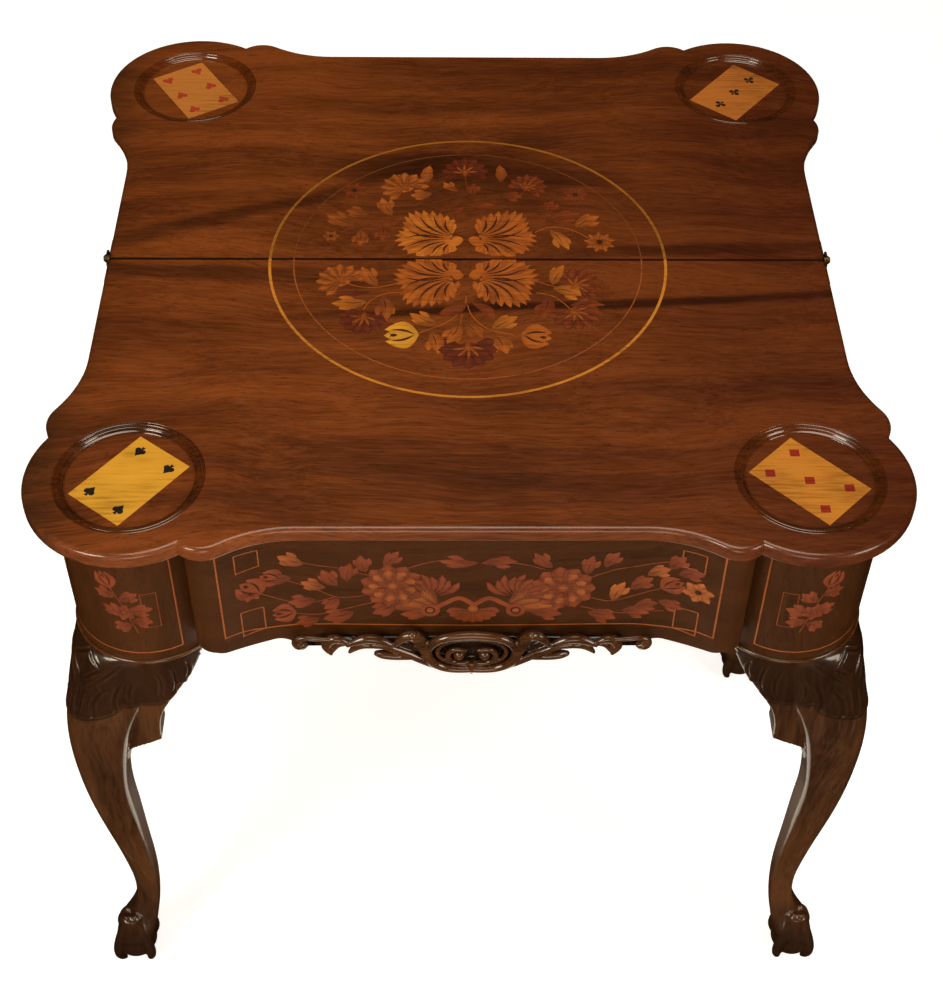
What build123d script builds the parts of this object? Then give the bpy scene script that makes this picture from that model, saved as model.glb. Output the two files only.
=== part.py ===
from build123d import *
from math import sqrt
import os

# A fold-over card table with its top open. Two leaves meet on the hinge line, y = 0.
# The frame stands under the front leaf, and a swinging leg at the back carries the folded-out leaf.
# Millimetres, +X to the viewer's right, +Y to the back, +Z up.
# The origin is on the floor under the middle of the open top.

# Top
top_height = 765
leaf_thickness = 18
leaf_gap = 0.3
leaf_edge_round = 5
front_recess = 379
side_recess = 376.5
corner_from_side = 60.5
corner_from_front = 66
lobe_from_corner = 73
lobe_radius = 31
front_lobe_rise = 24.5
front_sweep = 83
side_lobe_rise = 27.5
side_sweep = 90
ear_radius = 98.5

# Counter wells and card inlays
well_radius = 71
well_floor_radius = 60
well_depth = 5
well_step = 1.5
well_wall = 1
card_length = 94
card_width = 64
inlay_depth = 1
card_turns = {"spades": 52, "diamonds": -45, "hearts": -58, "clubs": 51}
pip_size = 13
pip_row_share = 0.68
pip_column_share = 0.58
heart_lobe_share = 0.25
spade_lobe_share = 0.22
spade_back_share = -0.10
club_lobe_share = 0.20
club_heart_share = 0.13
club_lobe_shares = ((0.30, 0.0), (-0.12, 0.30), (-0.12, -0.30))
pip_stalk_share = 0.15
ring_radius = 207
ring_width = 3
line_radius = 182
line_width = 1.2

# Frame
overhang = 10
rail_height = 144
skirt_drop = 13
skirt_past_straight = 12
skirt_cusp_in = 20
skirt_cusp_rise = 7
skirt_round = 120
skirt_hollow = 20
front_rail_thickness = 34
side_rail_thickness = 33.5
turret_radius = 74
turret_height = 167
scribe_gap = 0.2
tenon_thickness = 12
tenon_height = 100
tenon_reach = 28
tenon_setback = 13
inner_back_thickness = 18
back_tenon = 15

# Legs
front_post = 50
rear_post = 54
frame_back = 6
front_foot_out = 81
front_foot_depth_share = 0.82
rear_foot_out = 76
rear_foot_depth_share = 1.0
knee_half = 60
ankle_height = 42
leg_shares = (
    # height above the ankle, outward, half width, corner rounding
    (1.000, 0.10, 1.00, 0.87),
    (0.954, 0.30, 0.92, 0.80),
    (0.898, 0.48, 0.77, 0.70),
    (0.833, 0.66, 0.64, 0.57),
    (0.768, 0.77, 0.535, 0.47),
    (0.684, 0.83, 0.45, 0.41),
    (0.569, 0.85, 0.37, 0.40),
    (0.461, 0.81, 0.33, 0.40),
    (0.353, 0.76, 0.28, 0.41),
    (0.235, 0.71, 0.237, 0.45),
    (0.145, 0.71, 0.215, 0.47),
    (0.089, 0.765, 0.245, 0.48),
    (0.051, 0.85, 0.31, 0.55),
    (0.000, 0.99, 0.36, 0.65),
)
wing_reach = 54
wing_drop = 187
wing_thickness = 34
wing_shares = (
    # inward, down
    (1.00, 0.00),
    (0.88, 0.105),
    (0.50, 0.285),
    (0.18, 0.43),
    (0.05, 0.56),
    (0.02, 0.705),
)
wing_arch_shares = ((-0.38, 0.785), (-0.80, 0.93))
wing_shaft_shares = (-0.90, -1.10)

# Claw-and-ball feet
ball_radius = 24
ball_height = 24.5
talon_spread = 19.5
talon_radius = 6
talon_height = 62
talon_shares = (
    # height, spread, radius
    (1.00, 0.22, 1.10),
    (0.68, 0.64, 1.10),
    (0.36, 0.98, 1.00),
    (0.13, 0.90, 0.78),
    (0.00, 0.72, 0.50),
)

# Swinging gate
gate_pivot_from_post = 233
back_rail_thickness = 24
gate_rail_thickness = 23
gate_side_gap = 1
gate_head_gap = 0.6
finger_count = 5
finger_gap = 0.4
knuckle_gap = 1.5
gate_pin_radius = 4
running_gap = 0.06
post_tenon = 24

# Leaf hinges
hinge_thickness = 2.5
hinge_height = 12
hinge_length = 34
hinge_lift = 0.2
hinge_eye_radius = 4.2
hinge_eye_gap = 0.4
hinge_side_gap = 0.1
hinge_lug = 14
hinge_pin_radius = 2
hinge_pin_head_radius = 3.2
hinge_pin_head = 1.2
hinge_screw_first = 16
hinge_screw_step = 12

# Screws and glued blocks
screw_radius = 1.6
screw_head_radius = 3.4
screw_head_depth = 2
hinge_screw_length = 16
block_length = 50
block_depth = 22
block_height = 22
block_from_middle = 120
block_from_turret = 35
block_step = 55
leaf_screw_bite = 11
corner_block_leg = 32
corner_block_margin = 12
back_screw_step = 75
back_screw_length = 34

# Carved ornament under the front rail
carving_rise = 26
carving_drop = 37
carving_inset = 2
carving_cap_inset = 20
carving_proud = 15
carving_depth = 32
cartouche_half = 60
cartouche_shoulder_share = 0.5
arm_drop_share = 0.25
arm_scallops = 3

cut_overrun = 20

# Sizes that follow
leaf_bottom = top_height - leaf_thickness
rail_top = leaf_bottom
rail_bottom = rail_top - rail_height
skirt_bottom = rail_bottom - skirt_drop
turret_bottom = rail_top - turret_height
knee_height = turret_bottom
corner_x = side_recess - corner_from_side
corner_y = front_recess - corner_from_front
front_lobe_x = corner_x - lobe_from_corner
front_lobe_y = front_recess + front_lobe_rise
front_straight = front_lobe_x - front_sweep
skirt_half = front_straight + skirt_past_straight
carving_half = skirt_half - carving_inset
carving_cap_half = carving_half - carving_cap_inset
side_lobe_y = corner_y - lobe_from_corner
side_lobe_x = side_recess + side_lobe_rise
side_straight = side_lobe_y - side_sweep
front_rail_back = front_recess - overhang - front_rail_thickness
side_rail_inner = side_recess - overhang - side_rail_thickness
rear_post_x = side_rail_inner - rear_post / 2
post_front_y = frame_back + rear_post
knuckle_y = post_front_y - back_rail_thickness / 2
gate_pivot_x = rear_post_x - rear_post / 2 - gate_pivot_from_post
gate_arm = gate_pivot_x + rear_post_x - gate_side_gap
hinge_z = top_height + hinge_lift
well_floor = top_height - well_depth


def edge_points(recess, straight, lobe_at, lobe_out, inset):
    """One half of a serpentine edge, as points along and out from the middle of the table."""
    run = lobe_at - straight
    rise = lobe_out - recess
    both_radii = (run**2 + rise**2) / (2 * rise)
    hollow_centre = Vector(straight, recess + both_radii - lobe_radius)
    lobe_centre = Vector(lobe_at, lobe_out - lobe_radius)
    start = Vector(straight, recess - inset)
    change = lobe_centre + (hollow_centre - lobe_centre).normalized() * (lobe_radius - inset)
    return start, hollow_centre, change, lobe_centre


def front_edge(inset):
    points = edge_points(front_recess, front_straight, front_lobe_x, front_lobe_y, inset)
    return [Vector(-point.X, -point.Y) for point in points]


def side_edge(inset):
    points = edge_points(side_recess, side_straight, side_lobe_y, side_lobe_x, inset)
    return [Vector(-point.Y, -point.X) for point in points]


def meet(centre_a, radius_a, centre_b, radius_b):
    """The crossing of two circles that lies further from the middle of the table."""
    span = centre_b - centre_a
    along = (span.length**2 + radius_a**2 - radius_b**2) / (2 * span.length)
    across = sqrt(radius_a**2 - along**2)
    foot = centre_a + span.normalized() * along
    side = Vector(-span.Y, span.X).normalized() * across
    return max(foot + side, foot - side, key=lambda point: point.length)


def arc(centre, start, end):
    """An arc of less than half a turn about a centre."""
    middle = (start - centre) + (end - centre)
    through = centre + middle.normalized() * (start - centre).length
    return ThreePointArc(start, through, end)


def save(builder, name):
    builder.part.label = name
    export_step(builder.part, "parts/" + name + ".step")


corner = Vector(-corner_x, -corner_y)


# Leaves
def leaf_outline():
    """The left half of a leaf's outline, in front of the hinge line."""
    side_start, side_hollow, side_change, side_lobe = side_edge(0)
    front_start, front_hollow, front_change, front_lobe = front_edge(0)
    side_notch = meet(corner, ear_radius, side_lobe, lobe_radius)
    front_notch = meet(corner, ear_radius, front_lobe, lobe_radius)
    Line((0, -leaf_gap / 2), (-side_recess, -leaf_gap / 2))
    Line((-side_recess, -leaf_gap / 2), side_start)
    arc(side_hollow, side_start, side_change)
    arc(side_lobe, side_change, side_notch)
    arc(corner, side_notch, front_notch)
    arc(front_lobe, front_notch, front_change)
    arc(front_hollow, front_change, front_start)
    Line(front_start, (0, -front_recess))


def well_section():
    """Half the section of a counter well, with its stepped and hollowed rim."""
    step_radius = well_radius - (well_radius - well_floor_radius) / 3
    wall_foot = well_depth - well_wall
    Polyline((0, 0), (well_radius, 0), (well_radius - well_step, -well_step), (step_radius, -well_step))
    RadiusArc((step_radius, -well_step), (well_floor_radius, -wall_foot), well_radius - well_floor_radius)
    Polyline((well_floor_radius, -wall_foot), (well_floor_radius, -well_depth), (0, -well_depth), (0, 0))


def screw(plane, length):
    """A countersunk screw whose head is flush with the plane and whose shank runs back from it."""
    with BuildPart() as shank:
        with BuildSketch(plane):
            Circle(screw_head_radius)
        with BuildSketch(plane.offset(-screw_head_depth)):
            Circle(screw_radius)
        loft()
        with BuildSketch(plane.offset(-screw_head_depth)):
            Circle(screw_radius)
        extrude(amount=screw_head_depth - length)
    return shank.part


def hinge_screw_planes(side, leaf_sign):
    """Where the screws of one hinge plate enter a leaf's end, on one side of the hinge line."""
    planes = []
    for number in range(2):
        y = leaf_sign * (hinge_screw_first + number * hinge_screw_step)
        z = top_height - leaf_thickness / 2
        planes.append(Plane(origin=(side * side_recess, y, z), x_dir=(0, 1, 0), z_dir=(side, 0, 0)))
    return planes


def hinge_plane(side, distance):
    """A plane across the hinge pins, a distance out from the leaf's end; its x runs to the back."""
    origin = (side * (side_recess + distance), 0, 0)
    return Plane(origin=origin, x_dir=(0, 1, 0), z_dir=(side, 0, 0))


def upright(side, y, z):
    """A point at y and z, in the axes of a hinge plane."""
    return (y, side * z)


def plate_blank(side, leaf_sign, near):
    """The plate's outline: a strip along the leaf's end, from near the hinge line."""
    bottom = top_height - leaf_thickness / 2 - hinge_height / 2
    far = hinge_length
    with Locations(upright(side, leaf_sign * (near + far) / 2, bottom + hinge_height / 2)):
        Rectangle(far - near, hinge_height)


def eye_neck(side, leaf_sign):
    """The part of the fixed plate that rises to its eye."""
    bottom = top_height - leaf_thickness / 2 - hinge_height / 2
    reach = 2 * hinge_eye_radius
    with Locations(upright(side, leaf_sign * (reach + leaf_gap) / 2, (bottom + hinge_z) / 2)):
        Rectangle(reach, hinge_z - bottom)
    with Locations(upright(side, 0, hinge_z)):
        Circle(hinge_eye_radius)


def hinge_seats(leaf_sign):
    """What is cut from the ends of a leaf to let in its hinge plates and their screws."""
    with BuildPart() as seats:
        for side in (-1, 1):
            with BuildSketch(hinge_plane(side, 0)):
                if leaf_sign < 0:
                    plate_blank(side, leaf_sign, leaf_gap / 2)
                    eye_neck(side, leaf_sign)
                else:
                    plate_blank(side, leaf_sign, hinge_eye_radius + hinge_eye_gap)
                    with Locations(upright(side, 0, hinge_z)):
                        Circle(hinge_eye_radius + hinge_eye_gap)
            extrude(amount=-hinge_thickness)
            for plane in hinge_screw_planes(side, leaf_sign):
                with BuildSketch(plane):
                    Circle(screw_radius)
                extrude(amount=-hinge_screw_length)
    return seats.part


def card_sketch(suit):
    with Locations(Rotation(0, 0, card_turns[suit])):
        Rectangle(card_length, card_width)


def half_ring(radius, width, leaf_sign):
    """Half a ring of stringing, on one side of the hinge line."""
    Circle(radius + width / 2)
    Circle(radius - width / 2, mode=Mode.SUBTRACT)
    with Locations((0, leaf_sign * (leaf_gap / 2 + radius))):
        Rectangle(3 * radius, 2 * radius, mode=Mode.INTERSECT)


def leaf(leaf_sign, suits):
    with BuildPart() as board:
        with BuildSketch(Plane.XY.offset(leaf_bottom)):
            with BuildLine():
                leaf_outline()
                mirror(about=Plane.YZ)
            make_face()
            if leaf_sign > 0:
                mirror(about=Plane.XZ, mode=Mode.REPLACE)
        extrude(amount=leaf_thickness)
        rims = board.edges().filter_by(lambda edge: abs(edge.center().Z - leaf_bottom - leaf_thickness / 2)
                                       > leaf_thickness / 3)
        rims = rims.filter_by(lambda edge: abs(edge.center().Y) > leaf_gap)
        fillet(rims, leaf_edge_round)
        for side, suit in zip((-1, 1), suits):
            well_origin = (side * corner_x, leaf_sign * corner_y, top_height)
            with BuildSketch(Plane(origin=well_origin, x_dir=(1, 0, 0), z_dir=(0, -1, 0))):
                with BuildLine():
                    well_section()
                make_face()
            revolve(axis=Axis(well_origin, (0, 0, 1)), mode=Mode.SUBTRACT)
            with BuildSketch(Plane(origin=well_origin).offset(-well_depth)):
                card_sketch(suit)
            extrude(amount=-inlay_depth, mode=Mode.SUBTRACT)
        for radius, width in ((ring_radius, ring_width), (line_radius, line_width)):
            with BuildSketch(Plane.XY.offset(top_height)):
                half_ring(radius, width, leaf_sign)
            extrude(amount=-inlay_depth, mode=Mode.SUBTRACT)
        add(hinge_seats(leaf_sign), mode=Mode.SUBTRACT)
        if leaf_sign < 0:
            for x, y in block_places():
                add(screw(leaf_screw_plane(x, y), block_height + leaf_screw_bite), mode=Mode.SUBTRACT)
    return board


def block_places():
    """Middles of the screw blocks, as x and y."""
    front_y = -(front_rail_back - block_depth / 2)
    back_y = -(post_front_y + inner_back_thickness + block_depth / 2)
    side_x = side_rail_inner - block_depth / 2
    side_y = corner_y - turret_radius - block_from_turret
    places = [(side * block_from_middle, y) for side in (-1, 1) for y in (front_y, back_y)]
    places += [(side * side_x, -y) for side in (-1, 1) for y in (side_y, side_y - block_step)]
    return places


def leaf_screw_plane(x, y):
    """The underside of a screw block, facing down."""
    return Plane(origin=(x, y, rail_top - block_height), z_dir=(0, 0, -1))


# Card inlays and their pips
def pip(suit):
    """One pip of a suit, pointing along +X."""
    lobe = (heart_lobe_share if suit == "hearts" else spade_lobe_share) * pip_size
    back = heart_lobe_share * pip_size if suit == "hearts" else spade_back_share * pip_size
    tip = -pip_size / 2 if suit == "hearts" else pip_size / 2
    stalk = pip_stalk_share * pip_size
    with BuildSketch() as shape:
        if suit == "diamonds":
            Polygon((tip, 0), (0, pip_size / 2), (-tip, 0), (0, -pip_size / 2), align=None)
        if suit in ("hearts", "spades"):
            with Locations((back, lobe), (back, -lobe)):
                Circle(lobe)
            Polygon((tip, 0), (back, 2 * lobe), (back, -2 * lobe), align=None)
        if suit == "clubs":
            Circle(club_heart_share * pip_size)
            with Locations([(x * pip_size, y * pip_size) for x, y in club_lobe_shares]):
                Circle(club_lobe_share * pip_size)
        if suit in ("spades", "clubs"):
            Polygon((0, 0), (-pip_size / 2, stalk), (-pip_size / 2, -stalk), align=None)
    return shape.sketch


def pip_places(suit):
    """Places of a card's pips in the card's own axes, and which way each points."""
    row = pip_row_share * card_length / 2
    column = pip_column_share * card_width / 2
    inward = -1 if suit == "spades" else 1
    corners = [(x * row, y * column, x * inward) for x in (-1, 1) for y in (-1, 1)]
    middles = {
        "spades": [],
        "diamonds": [(0, 0, 1)],
        "hearts": [(0, column, 1), (0, -column, 1)],
    }
    if suit == "clubs":
        return [(row, 0, 1), (0, 0, 1), (-row, 0, -1)]
    return corners + middles[suit]


def pips_sketch(suit):
    shape = pip(suit)
    for x, y, way in pip_places(suit):
        with Locations(Rotation(0, 0, card_turns[suit]) * Location((x, y, 0), (0, 0, 0 if way > 0 else 180))):
            add(shape)


def well_plane(side, leaf_sign):
    return Plane(origin=(side * corner_x, leaf_sign * corner_y, well_floor))


def card(side, leaf_sign, suit):
    with BuildPart() as ground:
        with BuildSketch(well_plane(side, leaf_sign)):
            card_sketch(suit)
        extrude(amount=-inlay_depth)
        with BuildSketch(well_plane(side, leaf_sign)):
            pips_sketch(suit)
        extrude(amount=-inlay_depth, mode=Mode.SUBTRACT)
    with BuildPart() as pips:
        with BuildSketch(well_plane(side, leaf_sign)):
            pips_sketch(suit)
        extrude(amount=-inlay_depth)
    save(ground, suit + "_card")
    save(pips, suit + "_pips")


def stringing(leaf_sign, radius, width):
    with BuildPart() as ring:
        with BuildSketch(Plane.XY.offset(top_height)):
            half_ring(radius, width, leaf_sign)
        extrude(amount=-inlay_depth)
    return ring


# Frame
def tenon_plane():
    return Plane.XY.offset((rail_bottom + rail_top - tenon_height) / 2)


def front_tenon_y():
    return -(front_recess - overhang - tenon_setback)


def side_tenon_x():
    return side_recess - overhang - tenon_setback


def turret_edge(offset):
    """How far the turret's surface lies from its middle, at an offset across."""
    return sqrt(turret_radius**2 - offset**2)


def front_tenon(side):
    """A front rail's tenon, from inside the rail to its end in the turret."""
    surface = corner_x - turret_edge(corner_y + front_tenon_y())
    inner = surface - tenon_reach
    with Locations((side * (inner + surface + tenon_reach) / 2, front_tenon_y())):
        Rectangle(2 * tenon_reach, tenon_thickness)


def side_tenon(side):
    """A side rail's tenon, from inside the rail to its end in the turret."""
    surface = corner_y - turret_edge(side_tenon_x() - corner_x)
    with Locations((side * side_tenon_x(), -surface)):
        Rectangle(tenon_thickness, 2 * tenon_reach)


def front_rail():
    start, hollow, change, lobe = front_edge(overhang)
    scribe = turret_radius + scribe_gap
    groove = meet(corner, scribe, lobe, lobe_radius - overhang)
    rail_end = Vector(corner.X + sqrt(scribe**2 - (corner_y - front_rail_back) ** 2), -front_rail_back)
    cusp = (skirt_half + skirt_cusp_in, skirt_bottom + skirt_cusp_rise)
    with BuildPart() as rail:
        with BuildSketch(Plane.XY.offset(skirt_bottom)):
            with BuildLine():
                Line((0, start.Y), start)
                arc(hollow, start, change)
                arc(lobe, change, groove)
                arc(corner, groove, rail_end)
                Line(rail_end, (0, rail_end.Y))
                mirror(about=Plane.YZ)
            make_face()
        extrude(amount=rail_top - skirt_bottom)
        with BuildSketch(Plane.XZ):
            with BuildLine():
                Line((skirt_half, skirt_bottom), (corner_x, skirt_bottom))
                Line((corner_x, skirt_bottom), (corner_x, rail_bottom))
                Line((corner_x, rail_bottom), (front_lobe_x, rail_bottom))
                RadiusArc((front_lobe_x, rail_bottom), cusp, skirt_round)
                RadiusArc(cusp, (skirt_half, skirt_bottom), -skirt_hollow)
            make_face()
            mirror(about=Plane.YZ)
        extrude(amount=front_lobe_y + cut_overrun, mode=Mode.SUBTRACT)
        with BuildSketch(tenon_plane()):
            for side in (-1, 1):
                front_tenon(side)
        extrude(amount=tenon_height)
    return rail


def side_rail(side):
    start, hollow, change, lobe = side_edge(overhang)
    scribe = turret_radius + scribe_gap
    groove = meet(corner, scribe, lobe, lobe_radius - overhang)
    rail_end = Vector(-side_rail_inner, corner.Y + sqrt(scribe**2 - (side_rail_inner - corner_x) ** 2))
    with BuildPart() as rail:
        with BuildSketch(Plane.XY.offset(rail_bottom)):
            with BuildLine():
                Line((start.X, -frame_back), start)
                arc(hollow, start, change)
                arc(lobe, change, groove)
                arc(corner, groove, rail_end)
                Line(rail_end, (rail_end.X, -frame_back))
                Line((rail_end.X, -frame_back), (start.X, -frame_back))
            make_face()
            if side > 0:
                mirror(about=Plane.YZ, mode=Mode.REPLACE)
        extrude(amount=rail_top - rail_bottom)
        with BuildSketch(tenon_plane()):
            side_tenon(side)
        extrude(amount=tenon_height)
        with BuildSketch(tenon_plane()):
            with Locations((side * side_rail_inner, -(post_front_y + inner_back_thickness / 2))):
                Rectangle(2 * back_tenon, tenon_thickness)
        extrude(amount=tenon_height, mode=Mode.SUBTRACT)
    return rail


def turret(side):
    """The round corner of the frame, bored square for the leg's post and mortised for two rails."""
    with BuildPart() as column:
        with BuildSketch(Plane.XY.offset(turret_bottom)):
            with Locations((side * corner_x, -corner_y)):
                Circle(turret_radius)
                Rectangle(front_post, front_post, mode=Mode.SUBTRACT)
        extrude(amount=rail_top - turret_bottom)
        with BuildSketch(tenon_plane()):
            front_tenon(side)
            side_tenon(side)
        extrude(amount=tenon_height, mode=Mode.SUBTRACT)
    return column


def inner_back_rail():
    rail_y = -(post_front_y + inner_back_thickness / 2)
    with BuildPart() as rail:
        with BuildSketch(Plane.XY.offset(rail_bottom)):
            with Locations((0, rail_y)):
                Rectangle(2 * side_rail_inner, inner_back_thickness)
        extrude(amount=rail_top - rail_bottom)
        with BuildSketch(tenon_plane()):
            with Locations((0, rail_y)):
                Rectangle(2 * (side_rail_inner + back_tenon), tenon_thickness)
        extrude(amount=tenon_height)
        for plane in back_screw_planes():
            add(screw(plane, back_screw_length), mode=Mode.SUBTRACT)
    return rail


def back_screw_planes():
    """Where the back rail's screws go in, on the inner rail's front face."""
    front = -(post_front_y + inner_back_thickness)
    middle = (gate_pivot_x + rear_post_x) / 2
    height = (rail_bottom + rail_top) / 2
    return [
        Plane(origin=(middle + number * back_screw_step, front, height), x_dir=(1, 0, 0), z_dir=(0, -1, 0))
        for number in (-1, 0, 1)
    ]


def finger_levels(first):
    """Every other knuckle finger, as its bottom and its height."""
    pitch = (rail_top - rail_bottom) / finger_count
    return [(rail_bottom + number * pitch, pitch) for number in range(first, finger_count, 2)]


def outer_back_rail():
    """The fixed half of the knuckle-jointed back rail."""
    radius = back_rail_thickness / 2
    shoulder = radius + knuckle_gap
    post_face = rear_post_x - rear_post / 2
    with BuildPart() as rail:
        with BuildSketch(Plane.XY.offset(rail_bottom)):
            with Locations(((gate_pivot_x + shoulder + post_face) / 2, -knuckle_y)):
                Rectangle(post_face - gate_pivot_x - shoulder, back_rail_thickness)
        extrude(amount=rail_top - rail_bottom)
        for bottom, height in finger_levels(0):
            with BuildSketch(Plane.XY.offset(bottom)):
                with Locations((gate_pivot_x, -knuckle_y)):
                    Circle(radius)
                with Locations((gate_pivot_x + shoulder, -knuckle_y)):
                    Rectangle(2 * shoulder, back_rail_thickness)
            extrude(amount=height)
        with BuildSketch(tenon_plane()):
            with Locations((post_face, -knuckle_y)):
                Rectangle(2 * post_tenon, tenon_thickness)
        extrude(amount=tenon_height)
        with BuildSketch(Plane.XY.offset(rail_bottom)):
            with Locations((gate_pivot_x, -knuckle_y)):
                Circle(gate_pin_radius)
        extrude(amount=rail_top - rail_bottom, mode=Mode.SUBTRACT)
        for plane in back_screw_planes():
            add(screw(plane, back_screw_length), mode=Mode.SUBTRACT)
    return rail


# The gate swings about its pin. At rest it stands open, straight back; closed, it lies along the frame.
gate_plane = Plane(origin=(gate_pivot_x, -knuckle_y, 0), x_dir=(0, 1, 0), z_dir=(0, 0, 1))
gate_post_y = gate_rail_thickness / 2 - rear_post / 2


def gate_rail():
    radius = gate_rail_thickness / 2
    shoulder = back_rail_thickness / 2 + knuckle_gap
    post_face = gate_arm - rear_post / 2
    top = rail_top - gate_head_gap
    with BuildPart() as rail:
        with BuildSketch(gate_plane.offset(rail_bottom)):
            with Locations(((shoulder + post_face) / 2, 0)):
                Rectangle(post_face - shoulder, gate_rail_thickness)
        extrude(amount=top - rail_bottom)
        for bottom, height in finger_levels(1):
            with BuildSketch(gate_plane.offset(bottom + finger_gap)):
                Circle(radius)
                with Locations((shoulder, 0)):
                    Rectangle(2 * shoulder, gate_rail_thickness)
            extrude(amount=height - 2 * finger_gap)
        with BuildSketch(gate_plane.offset(tenon_plane().origin.Z)):
            with Locations((post_face, 0)):
                Rectangle(2 * post_tenon, tenon_thickness)
        extrude(amount=tenon_height)
        with BuildSketch(gate_plane.offset(rail_bottom)):
            Circle(gate_pin_radius + running_gap)
        extrude(amount=rail_top - rail_bottom, mode=Mode.SUBTRACT)
    return rail


def gate_pin():
    with BuildPart() as pin:
        with BuildSketch(gate_plane.offset(rail_bottom)):
            Circle(gate_pin_radius)
        extrude(amount=rail_top - rail_bottom)
    return pin


# Legs
def ear(plane, inward, outward, crown):
    """The ogee-shaped ear beside the knee. It reaches inward, and its round face looks outward."""
    knee = crown - wing_drop
    base = Plane(origin=plane.origin, x_dir=inward, z_dir=(0, 0, 1))
    profile = Plane(origin=plane.origin, x_dir=inward, z_dir=-base.y_dir)
    hand = 1 if base.y_dir.dot(outward) > 0 else -1
    edge = [(across * wing_reach, crown - down * wing_drop) for across, down in wing_shares]
    arch = [(across * wing_reach, crown - down * wing_drop) for across, down in wing_arch_shares]
    shaft = [(across * wing_reach, knee) for across in wing_shaft_shares]
    with BuildPart() as timber:
        with BuildSketch(base.offset(knee)):
            Circle(turret_radius)
            with Locations((0, hand * (turret_radius - wing_thickness / 2))):
                Rectangle(2 * turret_radius, wing_thickness, mode=Mode.INTERSECT)
        extrude(amount=wing_drop)
        with BuildSketch(profile):
            with BuildLine():
                Spline(*edge)
                ThreePointArc(edge[-1], arch[0], arch[1])
                Polyline(arch[1], shaft[0], shaft[1], (0, crown), edge[0])
            make_face()
        extrude(amount=turret_radius, both=True, mode=Mode.INTERSECT)
    return timber.part


def foot(plane):
    """A ball held by four talons."""
    with BuildPart() as claw:
        with Locations(plane.offset(ball_height)):
            Sphere(ball_radius)
        for talon_x in (-1, 1):
            for talon_y in (-1, 1):
                for height, spread, radius in talon_shares:
                    reach = spread * talon_spread
                    with BuildSketch(plane.offset(height * talon_height)):
                        with Locations((talon_x * reach, talon_y * reach)):
                            Circle(radius * talon_radius)
                loft()
    return claw.part


def shaft_sketch(out_x, out_y, outward, half, rounding, foot_out, depth_share):
    away = outward * foot_out
    width = half * knee_half
    with Locations((out_x * away, out_y * away * depth_share)):
        RectangleRounded(2 * width, 2 * width, rounding * width)


def leg(plane, out_x, out_y, foot_out, depth_share, post, crown, post_top, mortise):
    """A cabriole leg with its post, cut square where the two knee brackets are glued on."""
    blank = 2 * corner_x
    foot_place = Vector(out_x * foot_out, out_y * foot_out * depth_share, 0)
    foot_plane = Plane(origin=plane.from_local_coords(foot_place), x_dir=plane.x_dir, z_dir=(0, 0, 1))
    with BuildPart() as timber:
        for height, outward, half, rounding in leg_shares:
            with BuildSketch(plane.offset(ankle_height + height * (knee_height - ankle_height))):
                shaft_sketch(out_x, out_y, outward, half, rounding, foot_out, depth_share)
        loft()
        if crown > knee_height:
            with BuildSketch(plane.offset(knee_height)):
                shaft_sketch(out_x, out_y, *leg_shares[0][1:], foot_out, depth_share)
            extrude(amount=crown - knee_height)
        for piece in ears(plane, out_x, out_y, crown):
            add(piece)
        with BuildSketch(plane):
            with Locations((out_x * (blank - post) / 2, out_y * (blank - post) / 2)):
                Rectangle(blank, blank)
        extrude(amount=crown, mode=Mode.INTERSECT)
        add(foot(foot_plane))
        with BuildSketch(plane.offset(crown)):
            Rectangle(post, post)
        extrude(amount=post_top - crown)
        if mortise:
            with BuildSketch(plane.offset(tenon_plane().origin.Z)):
                with Locations(mortise):
                    Rectangle(2 * post_tenon, tenon_thickness)
            extrude(amount=tenon_height, mode=Mode.SUBTRACT)
    return timber


def ears(plane, out_x, out_y, crown):
    """The leg's two ears, the first along the plane's x and the second along its y."""
    x_out = plane.x_dir * out_x
    y_out = plane.y_dir * out_y
    return [ear(plane, -x_out, y_out, crown), ear(plane, -y_out, x_out, crown)]


def bracket(piece, plane, way_x, way_y, post, crown):
    """The part of an ear beyond the leg's blank, on one side of the post."""
    blank = 2 * corner_x
    with BuildPart() as timber:
        add(piece)
        with BuildSketch(plane):
            with Locations((way_x * (post + blank) / 2, way_y * (post + blank) / 2)):
                Rectangle(blank, blank)
        extrude(amount=crown, mode=Mode.INTERSECT)
    return timber


def save_leg(name, plane, out_x, out_y, foot_out, depth_share, post, crown, post_top, mortise=None):
    save(leg(plane, out_x, out_y, foot_out, depth_share, post, crown, post_top, mortise), name + "_leg")
    cross_ear, side_ear = ears(plane, out_x, out_y, crown)
    save(bracket(cross_ear, plane, -out_x, 0, post, crown), name + "_cross_bracket")
    save(bracket(side_ear, plane, 0, -out_y, post, crown), name + "_side_bracket")


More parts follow.
